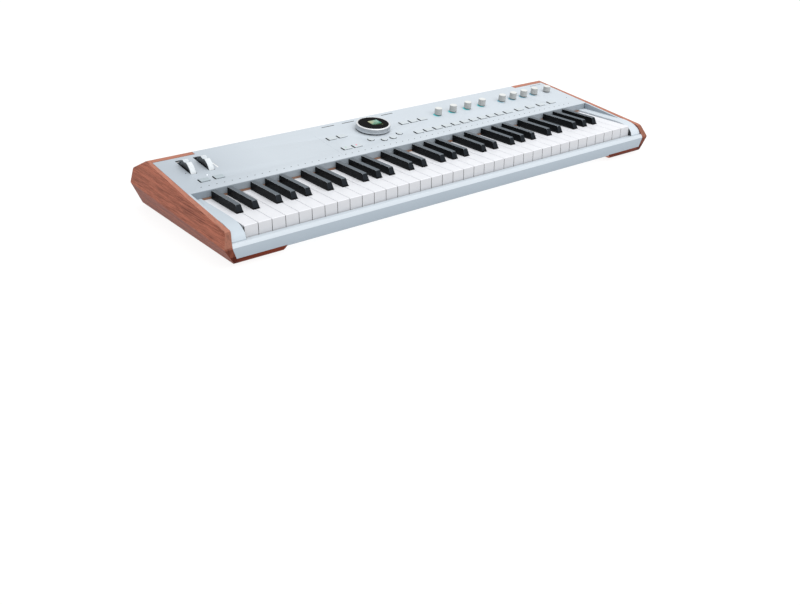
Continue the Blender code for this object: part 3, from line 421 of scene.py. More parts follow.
def shell_shadows(x, y, z, across, front, up):
    """Shade at the left end, on the upright board behind the keys and inside the openings."""
    behind_keys = (front < -0.9) * (y < 0.0)
    inside_openings = (up < 0.5) * band(y, 4.0 * MM, 105.0 * MM) * (z > 50.0 * MM)
    return ((ramp(x, -0.26, -0.44), (0.80, 0.82, 0.84)), (behind_keys, (0.58, 0.60, 0.615)),
            (inside_openings, 0.2))


def wood_finish(colour):
    """Oiled reddish hardwood. The grain runs along each board and down its front edge."""
    finish = Finish("oiled_wood", colour, 0.5, Specular_IOR_Level=0.1)
    x, _, z = finish.axes()
    _, front, up = finish.facing()
    on_side = abs(x) > SIDE_BOARD_X
    flow = finish.mix_vector(on_side, finish.stretched((0.34, 9.0, 9.0)), finish.stretched((9.0, 0.34, 9.0)))
    flow = finish.mix_vector(on_side * (front < -0.6), flow, finish.stretched((9.0, 9.0, 0.6)))
    figure = finish.noise(7.0, 4.0, 0.6, 0.9, flow)
    streak = finish.noise(30.0, 5.0, 0.7, 0.7, flow)
    line = finish.noise(84.0, 3.0, 0.65, 0.5, flow)
    pores = ramp(finish.noise(95.0, 2.0, 0.5, 0.0, finish.stretched((3.2, 3.2, 3.2), flow)), 0.56, 0.70)
    vein = ramp(finish.noise(46.0, 4.0, 0.6, 0.9, flow), 0.55, 0.66)
    dark = (colour[0] * 0.38, colour[1] * 0.30, colour[2] * 0.34)
    stops = [(0.37, dark), (0.445, shade(colour, 0.66)), (0.505, shade(colour, 0.94)),
             (0.58, shade(colour, 1.16)), (0.70, shade(colour, 1.42))]
    tone = figure * 0.26 + streak * 0.40 + line * 0.34
    body = finish.node("ValToRGB", {"stops": stops}, {0: tone}, 0)
    body = finish.mix(vein * 0.7, body, rgba(shade(dark, 0.95)))
    body = finish.mix(pores * 0.5, body, rgba(shade(colour, 0.40)))
    # Painted highlight on faces that look up.
    body = finish.mix((up > 0.45) * 0.34, body, rgba((0.64, 0.33, 0.24)))
    # Painted shade on the underside, the lower side faces and the front edge.
    under = (up < -0.8, 0.5)
    shaded_low_side = (on_side * (up < -0.05), (0.62, 0.52, 0.50))
    shaded_low_front = ((front < -0.6) * (z < WOOD_FOLD_Z), (0.35, 0.18, 0.12))
    shaded_high_front = ((front < -0.6) * (z > WOOD_FOLD_Z), 0.66)
    body = finish.shaded(body, under, shaded_low_side, shaded_low_front, shaded_high_front)
    return finish.done(body, 0.42 + streak * 0.16 + pores * 0.12, streak * 0.5 - pores * 0.5, 0.06, 0.6)


def white_key_finish(colour):
    """Moulded gloss plastic, a little duller where touched, with painted shade on its sides and fronts."""
    finish = Finish("white_key_plastic", colour, 0.3, Specular_IOR_Level=0.4)
    touch = finish.noise(26.0)
    grain = finish.noise(900.0, 2.0)
    across, front, _ = finish.facing()
    _, y, z = finish.axes()
    # Painted shade on the sides in the gaps, much deeper near the front, and on the front faces.
    side = (abs(across) > 0.8) * (z < 54.6 * MM)
    front_gap_shade = side * (y < KEY_FRONT_Y)
    front_shade = (front < -0.8) * (y < -150.0 * MM)
    body = finish.tones(touch, 0.985, 1.015)
    body = finish.shaded(body, (side, 0.66), (front_gap_shade, 0.10), (front_shade, 0.70))
    return finish.done(body, 0.26 + touch * 0.10 + grain * 0.05, grain, 0.01, 0.25)


def black_key_finish(colour):
    """Matt black plastic, finely spark-eroded, with a painted edge highlight and painted shade below."""
    finish = Finish("black_key_plastic", colour, 0.45, Specular_IOR_Level=0.13)
    grain = finish.noise(1400.0, 2.0, 0.6)
    wear = finish.noise(30.0)
    across, front, _ = finish.facing()
    z = finish.axes()[2]
    # Painted highlight along the top's left edge.
    rim = band(across, -0.86, -0.2) * (z > 61.0 * MM)
    body = finish.mix(rim * 0.9, finish.tones(grain, 0.8, 1.2), rgba((0.62, 0.67, 0.72)))
    # Painted shade on the sides, the front and the foot.
    on_side = (abs(across) > 0.86, (0.014, 0.02, 0.026))
    front_shade = (front < -0.6, (0.07, 0.085, 0.10))
    body = finish.shaded(body, on_side, front_shade, (z < 58.0 * MM, 0.15))
    return finish.done(body, 0.38 + grain * 0.12 + wear * 0.06, grain, 0.02, 0.5)


def felt_finish(colour):
    """Pressed felt: short fibres in two shades."""
    finish = Finish("felt", colour, 0.95, Sheen_Weight=0.2)
    fibres = finish.noise(900.0, 4.0, 0.7, at=finish.stretched((1.0, 2.2, 2.2)))
    tufts = finish.noise(160.0, 3.0, 0.6)
    return finish.done(finish.tones(fibres * 0.5 + tufts * 0.5, 0.30, 1.7), 0.95, fibres, 0.3, 0.8)


def cap_finish(name, colour):
    """Button rubber with a fine grain, its sides dark with the shade of the opening."""
    finish = Finish(name, colour, 0.5, Specular_IOR_Level=0.3)
    grain = finish.noise(1100.0, 2.0, 0.6)
    cloud = finish.noise(45.0, 2.0)
    height = finish.axes()[2]
    left_side = (finish.facing()[0] < -0.5) * (height < 1.2 * MM)
    body = finish.tones(grain * 0.5 + cloud * 0.5, 0.93, 1.07)
    body = finish.shaded(body, (height < 0.45 * MM, 0.13), (left_side, 0.10))
    return finish.done(body, 0.45 + grain * 0.1, grain, 0.02, 0.5)


def knob_finish(colour):
    """Pale moulded knob plastic with painted shade on its sides and deeper painted shade at its foot."""
    finish = Finish("knob_plastic", colour, 0.45, Specular_IOR_Level=0.3)
    grain = finish.noise(1100.0, 2.0, 0.6)
    side = abs(finish.facing()[2]) < 0.5
    foot = finish.axes()[2] < 2.2 * MM
    body = finish.shaded(finish.tones(grain, 0.93, 1.07), (side, 0.66), (foot, 0.28))
    return finish.done(body, 0.40 + grain * 0.1, grain, 0.02, 0.4)


def halo_finish(name, colour, strength):
    """Light that spills from under a knob onto the panel, most of it to the left."""
    finish = Finish(name, shade(colour, 0.8), 0.5, Specular_IOR_Level=0.1)
    x, y, _ = finish.axes()
    reach = (x * x + y * y).apply("SQRT")
    side = ramp((x * -0.97 + y * 0.24) / reach, -0.5, 1.0)
    finish.set("Alpha", ramp(reach, 10.2 * MM, 6.8 * MM) * side)
    return finish.lit(colour, 500.0, strength)


def wheel_finish():
    """Thumb wheel: a white tread between dark flanks, with painted shade deep in the slot, grooves and scoop.
    """
    finish = Finish("wheel_plastic", (0.84, 0.87, 0.88), 0.36)
    _, y, z = finish.axes()
    grain = finish.noise(900.0, 2.0, 0.6)
    across = finish.facing()[0]
    reach = (y * y + z * z).apply("SQRT") * (1.0 / MM)
    flank = (abs(across) > 0.7).apply("MAXIMUM", (abs(across) > 0.25) * (reach < 24.3))
    # The flanks' own dark colour, with painted shade that deepens towards the axle, into the slot.
    side = finish.shades(ramp(reach, 15.5, 24.5), (0.003, 0.004, 0.005), (0.085, 0.10, 0.11))
    tread = finish.shades(grain, (0.80, 0.84, 0.86), (0.86, 0.90, 0.92))
    # Painted shade in the grooves between the ribs and in the finger scoop.
    groove = ramp((y.apply("ARCTAN2", z) * WHEEL_RIBS).apply("COSINE"), 0.2, -1.0)
    scoop = band(reach, 18.0, 24.6)
    tread = finish.shaded(tread, (groove, (0.70, 0.74, 0.78)), (scoop, (0.84, 0.86, 0.88)))
    return finish.done(finish.mix(flank, tread, side), 0.30 + grain * 0.12, grain, 0.02, 0.4)


def moulded_finish(name, colour, roughness, grain_scale=1100.0):
    """Plain moulded plastic or rubber with a fine surface grain."""
    finish = Finish(name, colour, roughness)
    grain = finish.noise(grain_scale, 2.0, 0.6)
    cloud = finish.noise(45.0, 2.0)
    body = finish.tones(grain * 0.5 + cloud * 0.5, 0.92, 1.08)
    return finish.done(body, roughness - 0.05 + grain * 0.1, grain, 0.02, 0.5)


def metal_finish(name, colour, roughness, brush):
    """Metal with brush lines: the scale is large across them and small along them."""
    finish = Finish(name, colour, roughness, Metallic=1.0)
    lines = finish.noise(1.0, 3.0, 0.7, at=finish.stretched(brush))
    return finish.done(finish.tones(lines, 0.88, 1.1), roughness - 0.08 + lines * 0.16, lines, 0.01, 0.4)


def turned_finish(colour):
    """Lathe-turned metal: fine lines round the axis, with painted light and shade on its band, rim and foot.
    """
    finish = Finish("turned_metal", colour, 0.34, Metallic=0.6)
    x, y, z = finish.axes()
    radius = (x * x + y * y).apply("SQRT")
    angle = y.apply("ARCTAN2", x)
    line_place = finish.node("CombineXYZ", values={0: radius * 5200.0, 1: z * 5200.0, 2: angle * 1.5})
    cloud_place = finish.node("CombineXYZ", values={0: radius * 90.0, 1: z * 160.0, 2: angle * 2.2})
    lines = finish.noise(1.0, 2.0, 0.6, at=line_place)
    body = finish.tones(lines * 0.6 + finish.noise(1.0, 2.0, at=cloud_place) * 0.4, 0.80, 1.14)
    # Painted shade on the upper band and a painted highlight on the lower band.
    body = finish.shaded(body, (ramp(z, 5.0 * MM, 9.5 * MM), 0.84))
    body = finish.mix(ramp(z, 6.0 * MM, 3.0 * MM) * 0.35, body, rgba((0.86, 0.89, 0.92)))
    # Painted highlight on the top rim.
    body = finish.mix((z > 11.0 * MM) * 0.85, body, rgba((0.96, 0.98, 1.0)))
    # Painted shadow at the foot, where the ring meets the panel.
    body = finish.shaded(body, (z < 2.9 * MM, (0.13, 0.16, 0.19)))
    return finish.done(body, 0.28 + lines * 0.16, lines, 0.01, 0.5)


def screen_finish():
    """Black glass. A small lit picture of plain hills in green and sand stands on it."""
    finish = Finish("display_glass", (0.003, 0.003, 0.003), 0.12, Specular_IOR_Level=0.015)
    x, y, z = finish.axes()
    x_mm = x * (1.0 / MM)
    y_mm = y * (1.0 / MM)
    on_top = z > 11.5 * MM
    glow = finish.noise(420.0)
    warm = finish.shades(glow, (0.38, 0.42, 0.22), (0.60, 0.58, 0.38))
    cool = finish.shades(glow, (0.13, 0.35, 0.29), (0.30, 0.54, 0.47))
    hills = finish.shades(glow, (0.02, 0.16, 0.12), (0.06, 0.36, 0.24))
    crest = (x_mm * 0.55).apply("SINE") * 1.6 + 0.5
    picture = finish.mix((y_mm < crest) * 0.75, finish.mix(ramp(x_mm, -5.0, 13.0), warm, cool), hills)
    picture = finish.mix((finish.noise(1300.0, 2.0) > 0.62) * 0.8, picture, (0.80, 0.86, 0.62, 1.0))
    areas = ((-5.4, 14.9, -6.0, 11.0, picture), (-3.0, 12.0, -9.4, -8.3, (0.12, 0.26, 0.10, 1.0)),
             (10.5, 13.5, -12.6, -11.2, (0.20, 0.30, 0.10, 1.0)))
    lit = (0.0, 0.0, 0.0, 1.0)
    for left, right, low, high, light in areas:
        lit = finish.mix(band(x_mm, left, right) * band(y_mm, low, high) * on_top, lit, light)
    finish.set("Emission Color", lit)
    finish.set("Emission Strength", 1.0)
    finish.set("Roughness", 0.08 + finish.noise(70.0) * 0.08)
    return finish.material


def board_finish():
    """Circuit board: green lacquer with darker tracks and pale pads."""
    finish = Finish("circuit_board", (0.02, 0.12, 0.06), 0.4)
    values = {"Vector": finish.place, "Color1": rgba((0.015, 0.10, 0.05)), "Color2": rgba((0.02, 0.14, 0.07)),
              "Mortar": rgba((0.03, 0.20, 0.10)), "Scale": 90.0, "Mortar Size": 0.03}
    tracks = finish.node("TexBrick", {"offset": 0.35}, values, "Color")
    pads = finish.node("TexVoronoi", {"feature": "F1"}, {"Vector": finish.place, "Scale": 240.0}, "Distance")
    finish.set("Base Color", finish.mix(pads < 0.16, tracks, rgba((0.55, 0.56, 0.50))))
    finish.set("Roughness", 0.35 + finish.noise(60.0) * 0.15)
    return finish.material


def lit_finish(name, colour, strength):
    """A light pipe of translucent plastic."""
    return Finish(name, shade(colour, 0.6), 0.4).lit(colour, 700.0, strength)


def loft(name, rings, closed=False):
    """A mesh through rings of points with equal counts, capped unless its last ring meets its first."""
    body = bmesh.new()
    rows = [[body.verts.new(point) for point in ring] for ring in rings]
    count = len(rows[0])
    pairs = list(zip(rows, rows[1:]))
    if closed:
        pairs.append((rows[-1], rows[0]))
    else:
        body.faces.new(list(reversed(rows[0])))
        body.faces.new(rows[-1])
    for low, high in pairs:
        for index in range(count):
            after = (index + 1) % count
            body.faces.new((low[index], low[after], high[after], high[index]))
    bmesh.ops.recalc_face_normals(body, faces=body.faces)
    mesh = bpy.data.meshes.new(name)
    body.to_mesh(mesh)
    body.free()
    return mesh


def ring_points(radius, height, steps, ripple=0.0, ribs=0, centre=(0.0, 0.0)):
    """A circle of points in millimetres, its radius pulled in by ripple between its ribs."""
    points = []
    for index in range(steps):
        turn = 2 * math.pi * index / steps
        pull = ripple * (0.5 - 0.5 * math.cos(ribs * turn)) if ripple else 0.0
        u = centre[0] + (radius - pull) * math.cos(turn)
        v = centre[1] + (radius - pull) * math.sin(turn)
        points.append(Vector((u, v, height)) * MM)
    return points


def rounded_loop(width, length, radius, height, centre=(0.0, 0.0), steps=6):
    """A rounded rectangle of points in millimetres at one height."""
    points = []
    for corner, (a, b) in enumerate(((1, 1), (-1, 1), (-1, -1), (1, -1))):
        for step in range(steps + 1):
            turn = math.pi / 2 * (corner + step / steps)
            u = centre[0] + a * (width / 2 - radius) + radius * math.cos(turn)
            v = centre[1] + b * (length / 2 - radius) + radius * math.sin(turn)
            points.append(Vector((u, v, height)) * MM)
    return points


def soft_steps(edge, steps=4):
    """Inset and drop of each step round an edge of that radius."""
    pairs = []
    for step in range(steps + 1):
        turn = math.pi / 2 * step / steps
        pairs.append((edge * (1 - math.cos(turn)), edge * (1 - math.sin(turn))))
    return pairs


def joined(name, meshes):
    body = bmesh.new()
    for mesh in meshes:
        body.from_mesh(mesh)
        bpy.data.meshes.remove(mesh)
    made = bpy.data.meshes.new(name)
    body.to_mesh(made)
    body.free()
    return made


def linked(name, data, place=None):
    """A new object in the scene, at its placement where it has one."""
    made = bpy.data.objects.new(name, data)
    bpy.context.scene.collection.objects.link(made)
    if place is not None:
        made.matrix_world = place
    return made


def piece(name, mesh, material, body, place=None, stands_for=(), angle=40.0):
    """Links a mesh as a piece of the object that rides on a body."""
    mesh.materials.clear()
    mesh.materials.append(material)
    mesh.shade_smooth()
    mesh.set_sharp_from_angle(angle=math.radians(angle))
    made = linked(name, mesh, place)
    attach(made, body)
    if stands_for:
        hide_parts(*stands_for)
    return made


def seat(x, y):
    """Placement on the panel, +Z along its normal, at X and foot point Y in millimetres."""
    rise = (y * MM - DIAL_PLACE.y) * math.tan(TILT)
    spot = Vector((x * MM, y * MM, DIAL_PLACE.z + rise))
    return Matrix.Translation(spot) @ Matrix.Rotation(TILT, 4, "X")


def joint_seat(name):
    return Matrix.Translation(Vector(JOINTS[name]["pos_m"])) @ Matrix.Rotation(TILT, 4, "X")


def body_of(node):
    return frame["nodes"][node]["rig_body"]


def clean_copy(node):
    """A welded copy of a node's mesh with its flat faces merged."""
    body = bmesh.new()
    body.from_mesh(frame["nodes"][node].data)
    bmesh.ops.remove_doubles(body, verts=body.verts, dist=0.002 * MM)
    bmesh.ops.dissolve_limit(body, angle_limit=math.radians(0.4), verts=body.verts, edges=body.edges)
    mesh = bpy.data.meshes.new(node + "_skin")
    body.to_mesh(mesh)
    body.free()
    return mesh


def skin(node, material, edge, segments=2, limit=28.0, cutter=None, trim=None):
    """Stands for a node with the same shape, its edges rounded. A trim moves its points a little."""
    mesh = clean_copy(node)
    if trim is not None:
        for vertex in mesh.vertices:
            vertex.co = trim(vertex.co.copy())
    made = piece(node + "_skin", mesh, material, body_of(node), stands_for=(node,))
    if cutter is not None:
        cut = made.modifiers.new("openings", "BOOLEAN")
        cut.operation = "DIFFERENCE"
        cut.solver = "EXACT"
        cut.object = cutter
        apply_modifiers(made)
        bpy.data.objects.remove(cutter, do_unlink=True)
    step = made.modifiers.new("rounding", "BEVEL")
    step.width = edge
    step.segments = segments
    step.limit_method = "ANGLE"
    step.angle_limit = math.radians(limit)
    step.harden_normals = True
    step.use_clamp_overlap = True
    return made


def apply_modifiers(item):
    graph = bpy.context.evaluated_depsgraph_get()
    mesh = bpy.data.meshes.new_from_object(item.evaluated_get(graph))
    item.modifiers.clear()
    old = item.data
    item.data = mesh
    bpy.data.meshes.remove(old)


def dress(nodes, material):
    """Gives nodes that keep their shape a finish."""
    for node in nodes:
        mesh = frame["nodes"][node].data
        mesh.materials.clear()
        mesh.materials.append(material)


def preset_xs():
    return [PRESET_FIRST_X + PRESET_PITCH * index for index in range(PRESET_COUNT)]


def effect_xs():
    return [EFFECT_FIRST_X + EFFECT_PITCH * index for index in range(EFFECT_COUNT)]


def round_offsets():
    """Centres of the round buttons from the dial's, in the panel's plane."""
    turns = [math.radians(angle) for angle in ROUND_ARC_ANGLES]
    return [(ROUND_ARC_RADIUS * math.sin(turn), -ROUND_ARC_RADIUS * math.cos(turn)) for turn in turns]


def opening_cutter():
    """Smooth outlines of the button openings, cut a hair wider than the panel's own."""
    tools = []
    spots = list(SINGLE_BUTTONS.values()) + [(x, UPPER_ROW_Y) for x in BANK_X]
    spots += [(x, ROW_Y) for x in preset_xs() + effect_xs()]
    width = BUTTON_WIDTH + 2 * HOLE_MARGIN
    length = BUTTON_LENGTH + 2 * HOLE_MARGIN
    for x, y in spots:
        mesh = loft("opening", [rounded_loop(width, length, 2.0, height) for height in (-5.0, 5.0)])
        mesh.transform(seat(x, y))
        tools.append(mesh)
    for centre in round_offsets():
        radius = ROUND_BUTTON_RADIUS + HOLE_MARGIN
        mesh = loft("opening", [ring_points(radius, height, 48, centre=centre) for height in (-5.0, 5.0)])
        mesh.transform(joint_seat("dial_ring_turn"))
        tools.append(mesh)
    return linked("openings", joined("openings", tools))


def rail_trim(point):
    """The rail's lower edge, drawn down to where the wooden returns begin."""
    if point.z < RAIL_LIP_Z:
        point.z = RAIL_LIP_Z - (RAIL_LIP_Z - point.z) * 2.04
    return point


def wood_trim(point):
    """The underside of a wooden end, drawn down and straight from front to rear."""
    if point.z < WOOD_RETURN_Z - 0.1 * MM:
        point.z = WOOD_RETURN_Z - (WOOD_RETURN_Z - point.z) * 1.22
        if abs(point.x) > 0.4495 and abs(point.y) < 0.02:
            point.x = math.copysign(0.4486, point.x)
    return point


class KEYBOARD_OT_shell(Operator):
    """Paints the folded metal shell and rounds its edges"""

    bl_idname = "keyboard.dress_shell"
    bl_label = "Painted shell"

    def execute(self, context):
        settings = context.scene.keyboard_shell
        colour, roughness = settings.paint, settings.paint_roughness
        # Painted light: the rail and the blocks take lighter copies of the paint, the shell the paint itself.
        rail = paint_finish("rail_paint", shade(colour, 1.06), roughness - 0.04, rail_shadows)
        block = paint_finish("block_paint", shade(colour, 1.10), roughness, block_shadows)
        paint = paint_finish("painted_shell", colour, roughness, shell_shadows)
        skin("control_panel", paint, settings.edge, 3, 40.0, opening_cutter())
        skin("front_rail", rail, settings.edge, trim=rail_trim)
        for node in ("left_key_block", "right_key_block"):
            skin(node, block, settings.edge)
        for node in ("bottom_tray", "rear_panel"):
            skin(node, paint, settings.edge)
        return {"FINISHED"}


class KEYBOARD_OT_wood(Operator):
    """Makes the wooden ends and their rubber feet"""

    bl_idname = "keyboard.dress_wood"
    bl_label = "Wooden ends"

    def execute(self, context):
        settings = context.scene.keyboard_shell
        wood = wood_finish(settings.wood)
        rubber = moulded_finish("foot_rubber", (0.03, 0.03, 0.03), 0.8, 600.0)
        for side in ("left", "right"):
            skin(side + "_wood_end", wood, settings.wood_edge, 3, trim=wood_trim)
            skin(side + "_foot_strip", rubber, settings.wood_edge, 2)
        return {"FINISHED"}


def black_xs(octave):
    """Middle of each black key of an octave, in millimetres."""
    left = (octave * 7 - WHITE_COUNT / 2) * KEY_PITCH
    return [left + place * KEY_PITCH + offset for place, offset in BLACK_PLACES]


def foot_mesh(x):
    """The dark flare beside a black key's foot, a little wider than its body, standing in for the gap's
    shadow.
    """
    rings = []
    for reach, height in ((-0.6, 55.3), (0.5, 55.3), (0.5, 55.9), (0.15, 56.7), (-0.6, 57.6)):
        front, rear, half = -101.97 - 0.35 * reach, -19.0, BLACK_HALF + reach
        rings.append([Vector((x + side * half, y, height)) * MM
                      for side, y in ((-1, front), (1, front), (1, rear), (-1, rear))])
    return loft("foot", rings)


def felt_mesh(low, high):
    """A fluffed edge of felt between two black keys."""
    rings = []
    steps = 24
    for step in range(steps + 1):
        x = low + BLACK_HALF + 0.5 + (high - low - 2 * BLACK_HALF - 1.0) * step / steps
        fluff = 0.35 * math.sin(x * 2.3) + 0.2 * math.sin(x * 5.1 + 1.0)
        front = -20.6 + 0.7 * fluff
        outline = ((-17.5, 56.1), (front, 56.1), (front - 0.2, 56.7), (front + 0.8, 57.6 + 0.3 * fluff),
                   (-17.5, 58.1))
        rings.append([Vector((x, y, height)) * MM for y, height in outline])
    return loft("felt", rings)


class KEYBOARD_OT_keys(Operator):
    """Rounds and finishes the keys and lays the felt behind them"""

    bl_idname = "keyboard.dress_keys"
    bl_label = "Keys"

    def execute(self, context):
        settings = context.scene.keyboard_keys
        white = white_key_finish(settings.white)
        black = black_key_finish(settings.black)
        felt = felt_finish(settings.felt)
        for node in frame["nodes"]:
            if node.startswith("white_key"):
                skin(node, white, settings.edge, 3)
            elif node.startswith("black_keys"):
                skin(node, black, settings.black_edge, 3, 20.0)
        for octave in range(5):
            # Dark flares at the black keys' feet stand in for the shadow in the gaps beside them.
            feet = joined("feet", [foot_mesh(x) for x in black_xs(octave)])
            piece(f"black_key_feet_{octave + 1}", feet, black, f"black_keys_{octave + 1}")
        skin("key_felt_strip", felt, settings.edge, 2)
        edges = [-KEYBED_HALF] + [x for octave in range(5) for x in black_xs(octave)] + [KEYBED_HALF]
        tufts = [felt_mesh(low, high) for low, high in zip(edges, edges[1:])]
        piece("felt_edge", joined("felt_edge", tufts), felt, CASE)
        return {"FINISHED"}


def cap_mesh(centre=(0.0, 0.0)):
    """A button cap with rounded corners and a soft top edge, slightly dished and off its opening's middle."""
    edge = 0.45
    width = BUTTON_WIDTH - 0.3
    centre = (centre[0] + CAP_SHIFT[0], centre[1] + CAP_SHIFT[1])
    rings = [rounded_loop(width, BUTTON_LENGTH, 1.7, BUTTON_FOOT, centre)]
    for inset, drop in soft_steps(edge):
        rings.append(rounded_loop(width - 2 * inset, BUTTON_LENGTH - 2 * inset, 1.7 - inset,
                                  BUTTON_RISE - drop, centre))
    rings.append(rounded_loop(width - 3.0, BUTTON_LENGTH - 3.0, 1.0, BUTTON_RISE - 0.08, centre))
    return loft("cap", rings)


def round_cap_mesh(centre):
    edge = 0.5
    rings = [ring_points(ROUND_BUTTON_RADIUS, BUTTON_FOOT, 48, centre=centre)]
    for inset, drop in soft_steps(edge):
        rings.append(ring_points(ROUND_BUTTON_RADIUS - inset, BUTTON_RISE - drop, 48, centre=centre))
    rings.append(ring_points(ROUND_BUTTON_RADIUS - 1.8, BUTTON_RISE - 0.15, 48, centre=centre))
    return loft("cap", rings)


def lamp_mesh(size, height=0.0, centre=(0.0, 0.0), corners=24):
    """A thin flat mark, a disc unless it has fewer corners."""
    return loft("lamp", [ring_points(size, height + level, corners, centre=centre) for level in (-0.1, 0.04)])


class KEYBOARD_OT_buttons(Operator):
    """Makes the button caps and their small lights"""

    bl_idname = "keyboard.dress_buttons"
    bl_label = "Buttons"

    def execute(self, context):
        settings = context.scene.keyboard_controls
        cap = cap_finish("button_rubber", settings.cap)
        octave = cap_finish("octave_rubber", settings.octave_cap)
        for node, (x, y) in SINGLE_BUTTONS.items():
            rubber = octave if node.startswith("octave") else cap
            piece(node + "_cap", cap_mesh(), rubber, node, seat(x, y), (node,))
        rows = {"bank_keypad": (BANK_X, UPPER_ROW_Y), "preset_keypad": (preset_xs(), ROW_Y),
                "effect_keypad": (effect_xs(), ROW_Y)}
        for node, (xs, y) in rows.items():
            caps = joined(node, [cap_mesh((x, 0.0)) for x in xs])
            piece(node + "_caps", caps, cap, node, seat(0.0, y), (node,))
        arc = joined("menu", [round_cap_mesh(centre) for centre in round_offsets()])
        piece("menu_keypad_caps", arc, cap, "menu_keypad", joint_seat("dial_ring_turn"), ("menu_keypad",))
        for name, corners, colour in (("play", 3, (0.10, 0.50, 0.22)), ("record", 24, (0.80, 0.09, 0.20))):
            node = name + "_button"
            lamp = lamp_mesh(1.5, BUTTON_RISE - 0.03, (0.0, 1.6), corners)
            piece(name + "_lamp", lamp, lit_finish(name + "_light", colour, 0.7), node,
                  seat(*SINGLE_BUTTONS[node]))
        return {"FINISHED"}


def knob_mesh(radius, height):
    """A ribbed knob on its shaft, with a rounded and slightly dished top."""
    ribs, ripple = 36, 0.28
    profile = [(2.9, -2.6, 0.0), (2.9, 1.0, 0.0), (radius - 0.5, 1.0, 0.0), (radius - 0.15, 1.25, 0.0),
               (radius, 1.7, ripple), (radius - 0.1, height - 1.5, ripple),
               (radius - 0.22, height - 1.0, 0.0)]
    profile += [(radius - 0.25 - inset, height - drop, 0.0) for inset, drop in soft_steps(0.7)]
    profile += [(radius - 2.2, height - 0.25, 0.0), (1.0, height - 0.3, 0.0)]
    return loft("knob", [ring_points(reach, level, 4 * ribs, depth, ribs) for reach, level, depth in profile])


def collar_mesh(inner, outer, low, high, steps=64, edge=0.12):
    """A flat ring with softened top edges."""
    loops = [(inner, low), (outer, low), (outer, high - edge), (outer - edge, high), (inner + edge, high),
             (inner, high - edge)]
    return loft("collar", [ring_points(radius, height, steps) for radius, height in loops], True)


class KEYBOARD_OT_knobs(Operator):
    """Makes the ribbed knobs and the lit rings at their feet"""

    bl_idname = "keyboard.dress_knobs"
    bl_label = "Knobs"

    def execute(self, context):
        settings = context.scene.keyboard_controls
        body = knob_finish(settings.knob)
        lights = (halo_finish("first_knob_light", settings.glow, 0.42),
                  halo_finish("second_knob_light", settings.second_glow, 0.25))
        for index in range(8):
            node = f"knob_{index + 1}"
            place = joint_seat(node + "_turn")
            knob = knob_mesh(KNOB_RADIUS, KNOB_HEIGHT)
            piece(node + "_body", knob, body, node, place, (node,), 30.0)
            glow = collar_mesh(5.2, 10.4, -0.02, 0.06, edge=0.03)
            piece(node + "_light", glow, lights[index // 4], CASE, place)
        knob = knob_mesh(KNOB_RADIUS, LAST_KNOB_HEIGHT)
        piece("master_knob_body", knob, body, "master_knob", joint_seat("master_knob_turn"), ("master_knob",),
              30.0)
        return {"FINISHED"}


class KEYBOARD_OT_dial(Operator):
    """Makes the display glass, the turned ring round it and its hub"""

    bl_idname = "keyboard.dress_dial"
    bl_label = "Display dial"

    def execute(self, context):
        settings = context.scene.keyboard_controls
        place = joint_seat("dial_ring_turn")
        steps = 160
        outer, top, foot, edge = 31.6, 12.05, 1.9, 1.25
        loops = [(27.4, 4.4), (27.4, foot), (outer - 0.5, foot), (outer, foot + 0.5)]
        loops += [(outer - inset, top - drop) for inset, drop in soft_steps(edge, 6)]
        loops += [(28.5, top), (28.32, top - 0.2), (28.32, 5.4)]
        ring = loft("ring", [ring_points(radius, height, steps) for radius, height in loops], True)
        metal = turned_finish(settings.ring)
        piece("dial_ring_band", ring, metal, "dial_ring", place, ("dial_ring",))
        glass_loops = [(28.0, 10.6), (28.0, 11.75), (27.75, 12.0), (5.0, 12.0)]
        glass = loft("glass", [ring_points(radius, height, steps) for radius, height in glass_loops])
        piece("dial_glass", glass, screen_finish(), CASE, place, ("display_glass",))
        dark = moulded_finish("dark_plastic", (0.03, 0.032, 0.036), 0.5)
        dress(("dial_hub",), dark)
        return {"FINISHED"}


def scooped(turn, reach):
    """The reach at a turn of the wheel, less where the finger scoop cuts it."""
    away = abs((turn - SCOOP_TURN + math.pi) % (2 * math.pi) - math.pi)
    offset = SCOOP_REACH * math.sin(away)
    if offset >= SCOOP_RADIUS or away >= 1.0:
        return reach
    return min(reach, SCOOP_REACH * math.cos(away) - math.sqrt(max(0.0, SCOOP_RADIUS ** 2 - offset ** 2)))


def wheel_mesh(left, right):
    """A thumb wheel round +X with a fine tread and a finger scoop, on its two stub axles."""
    steps = 288
    half, radius, axle = WHEEL_HALF_WIDTH, WHEEL_RADIUS, 2.8
    flank = [(1.2, axle), (1.2, radius - 2.2), (0.0, radius - 1.8), (0.0, radius - 0.8),
             (0.15, radius - 0.25), (0.7, radius)]
    rows = [(-left, axle)] + [(inset - half, reach) for inset, reach in flank]
    rows += [(half - inset, reach) for inset, reach in reversed(flank)] + [(right, axle)]
    rings = []
    for along, reach in rows:
        ring = []
        for index in range(steps):
            turn = 2 * math.pi * index / steps
            distance = scooped(turn, reach) if reach > 20.0 else reach
            if distance == radius:
                distance -= 0.22 * (0.5 - 0.5 * math.cos(WHEEL_RIBS * turn))
            ring.append(Vector((along, distance * math.sin(turn), distance * math.cos(turn))) * MM)
        rings.append(ring)
    return loft("wheel", rings)


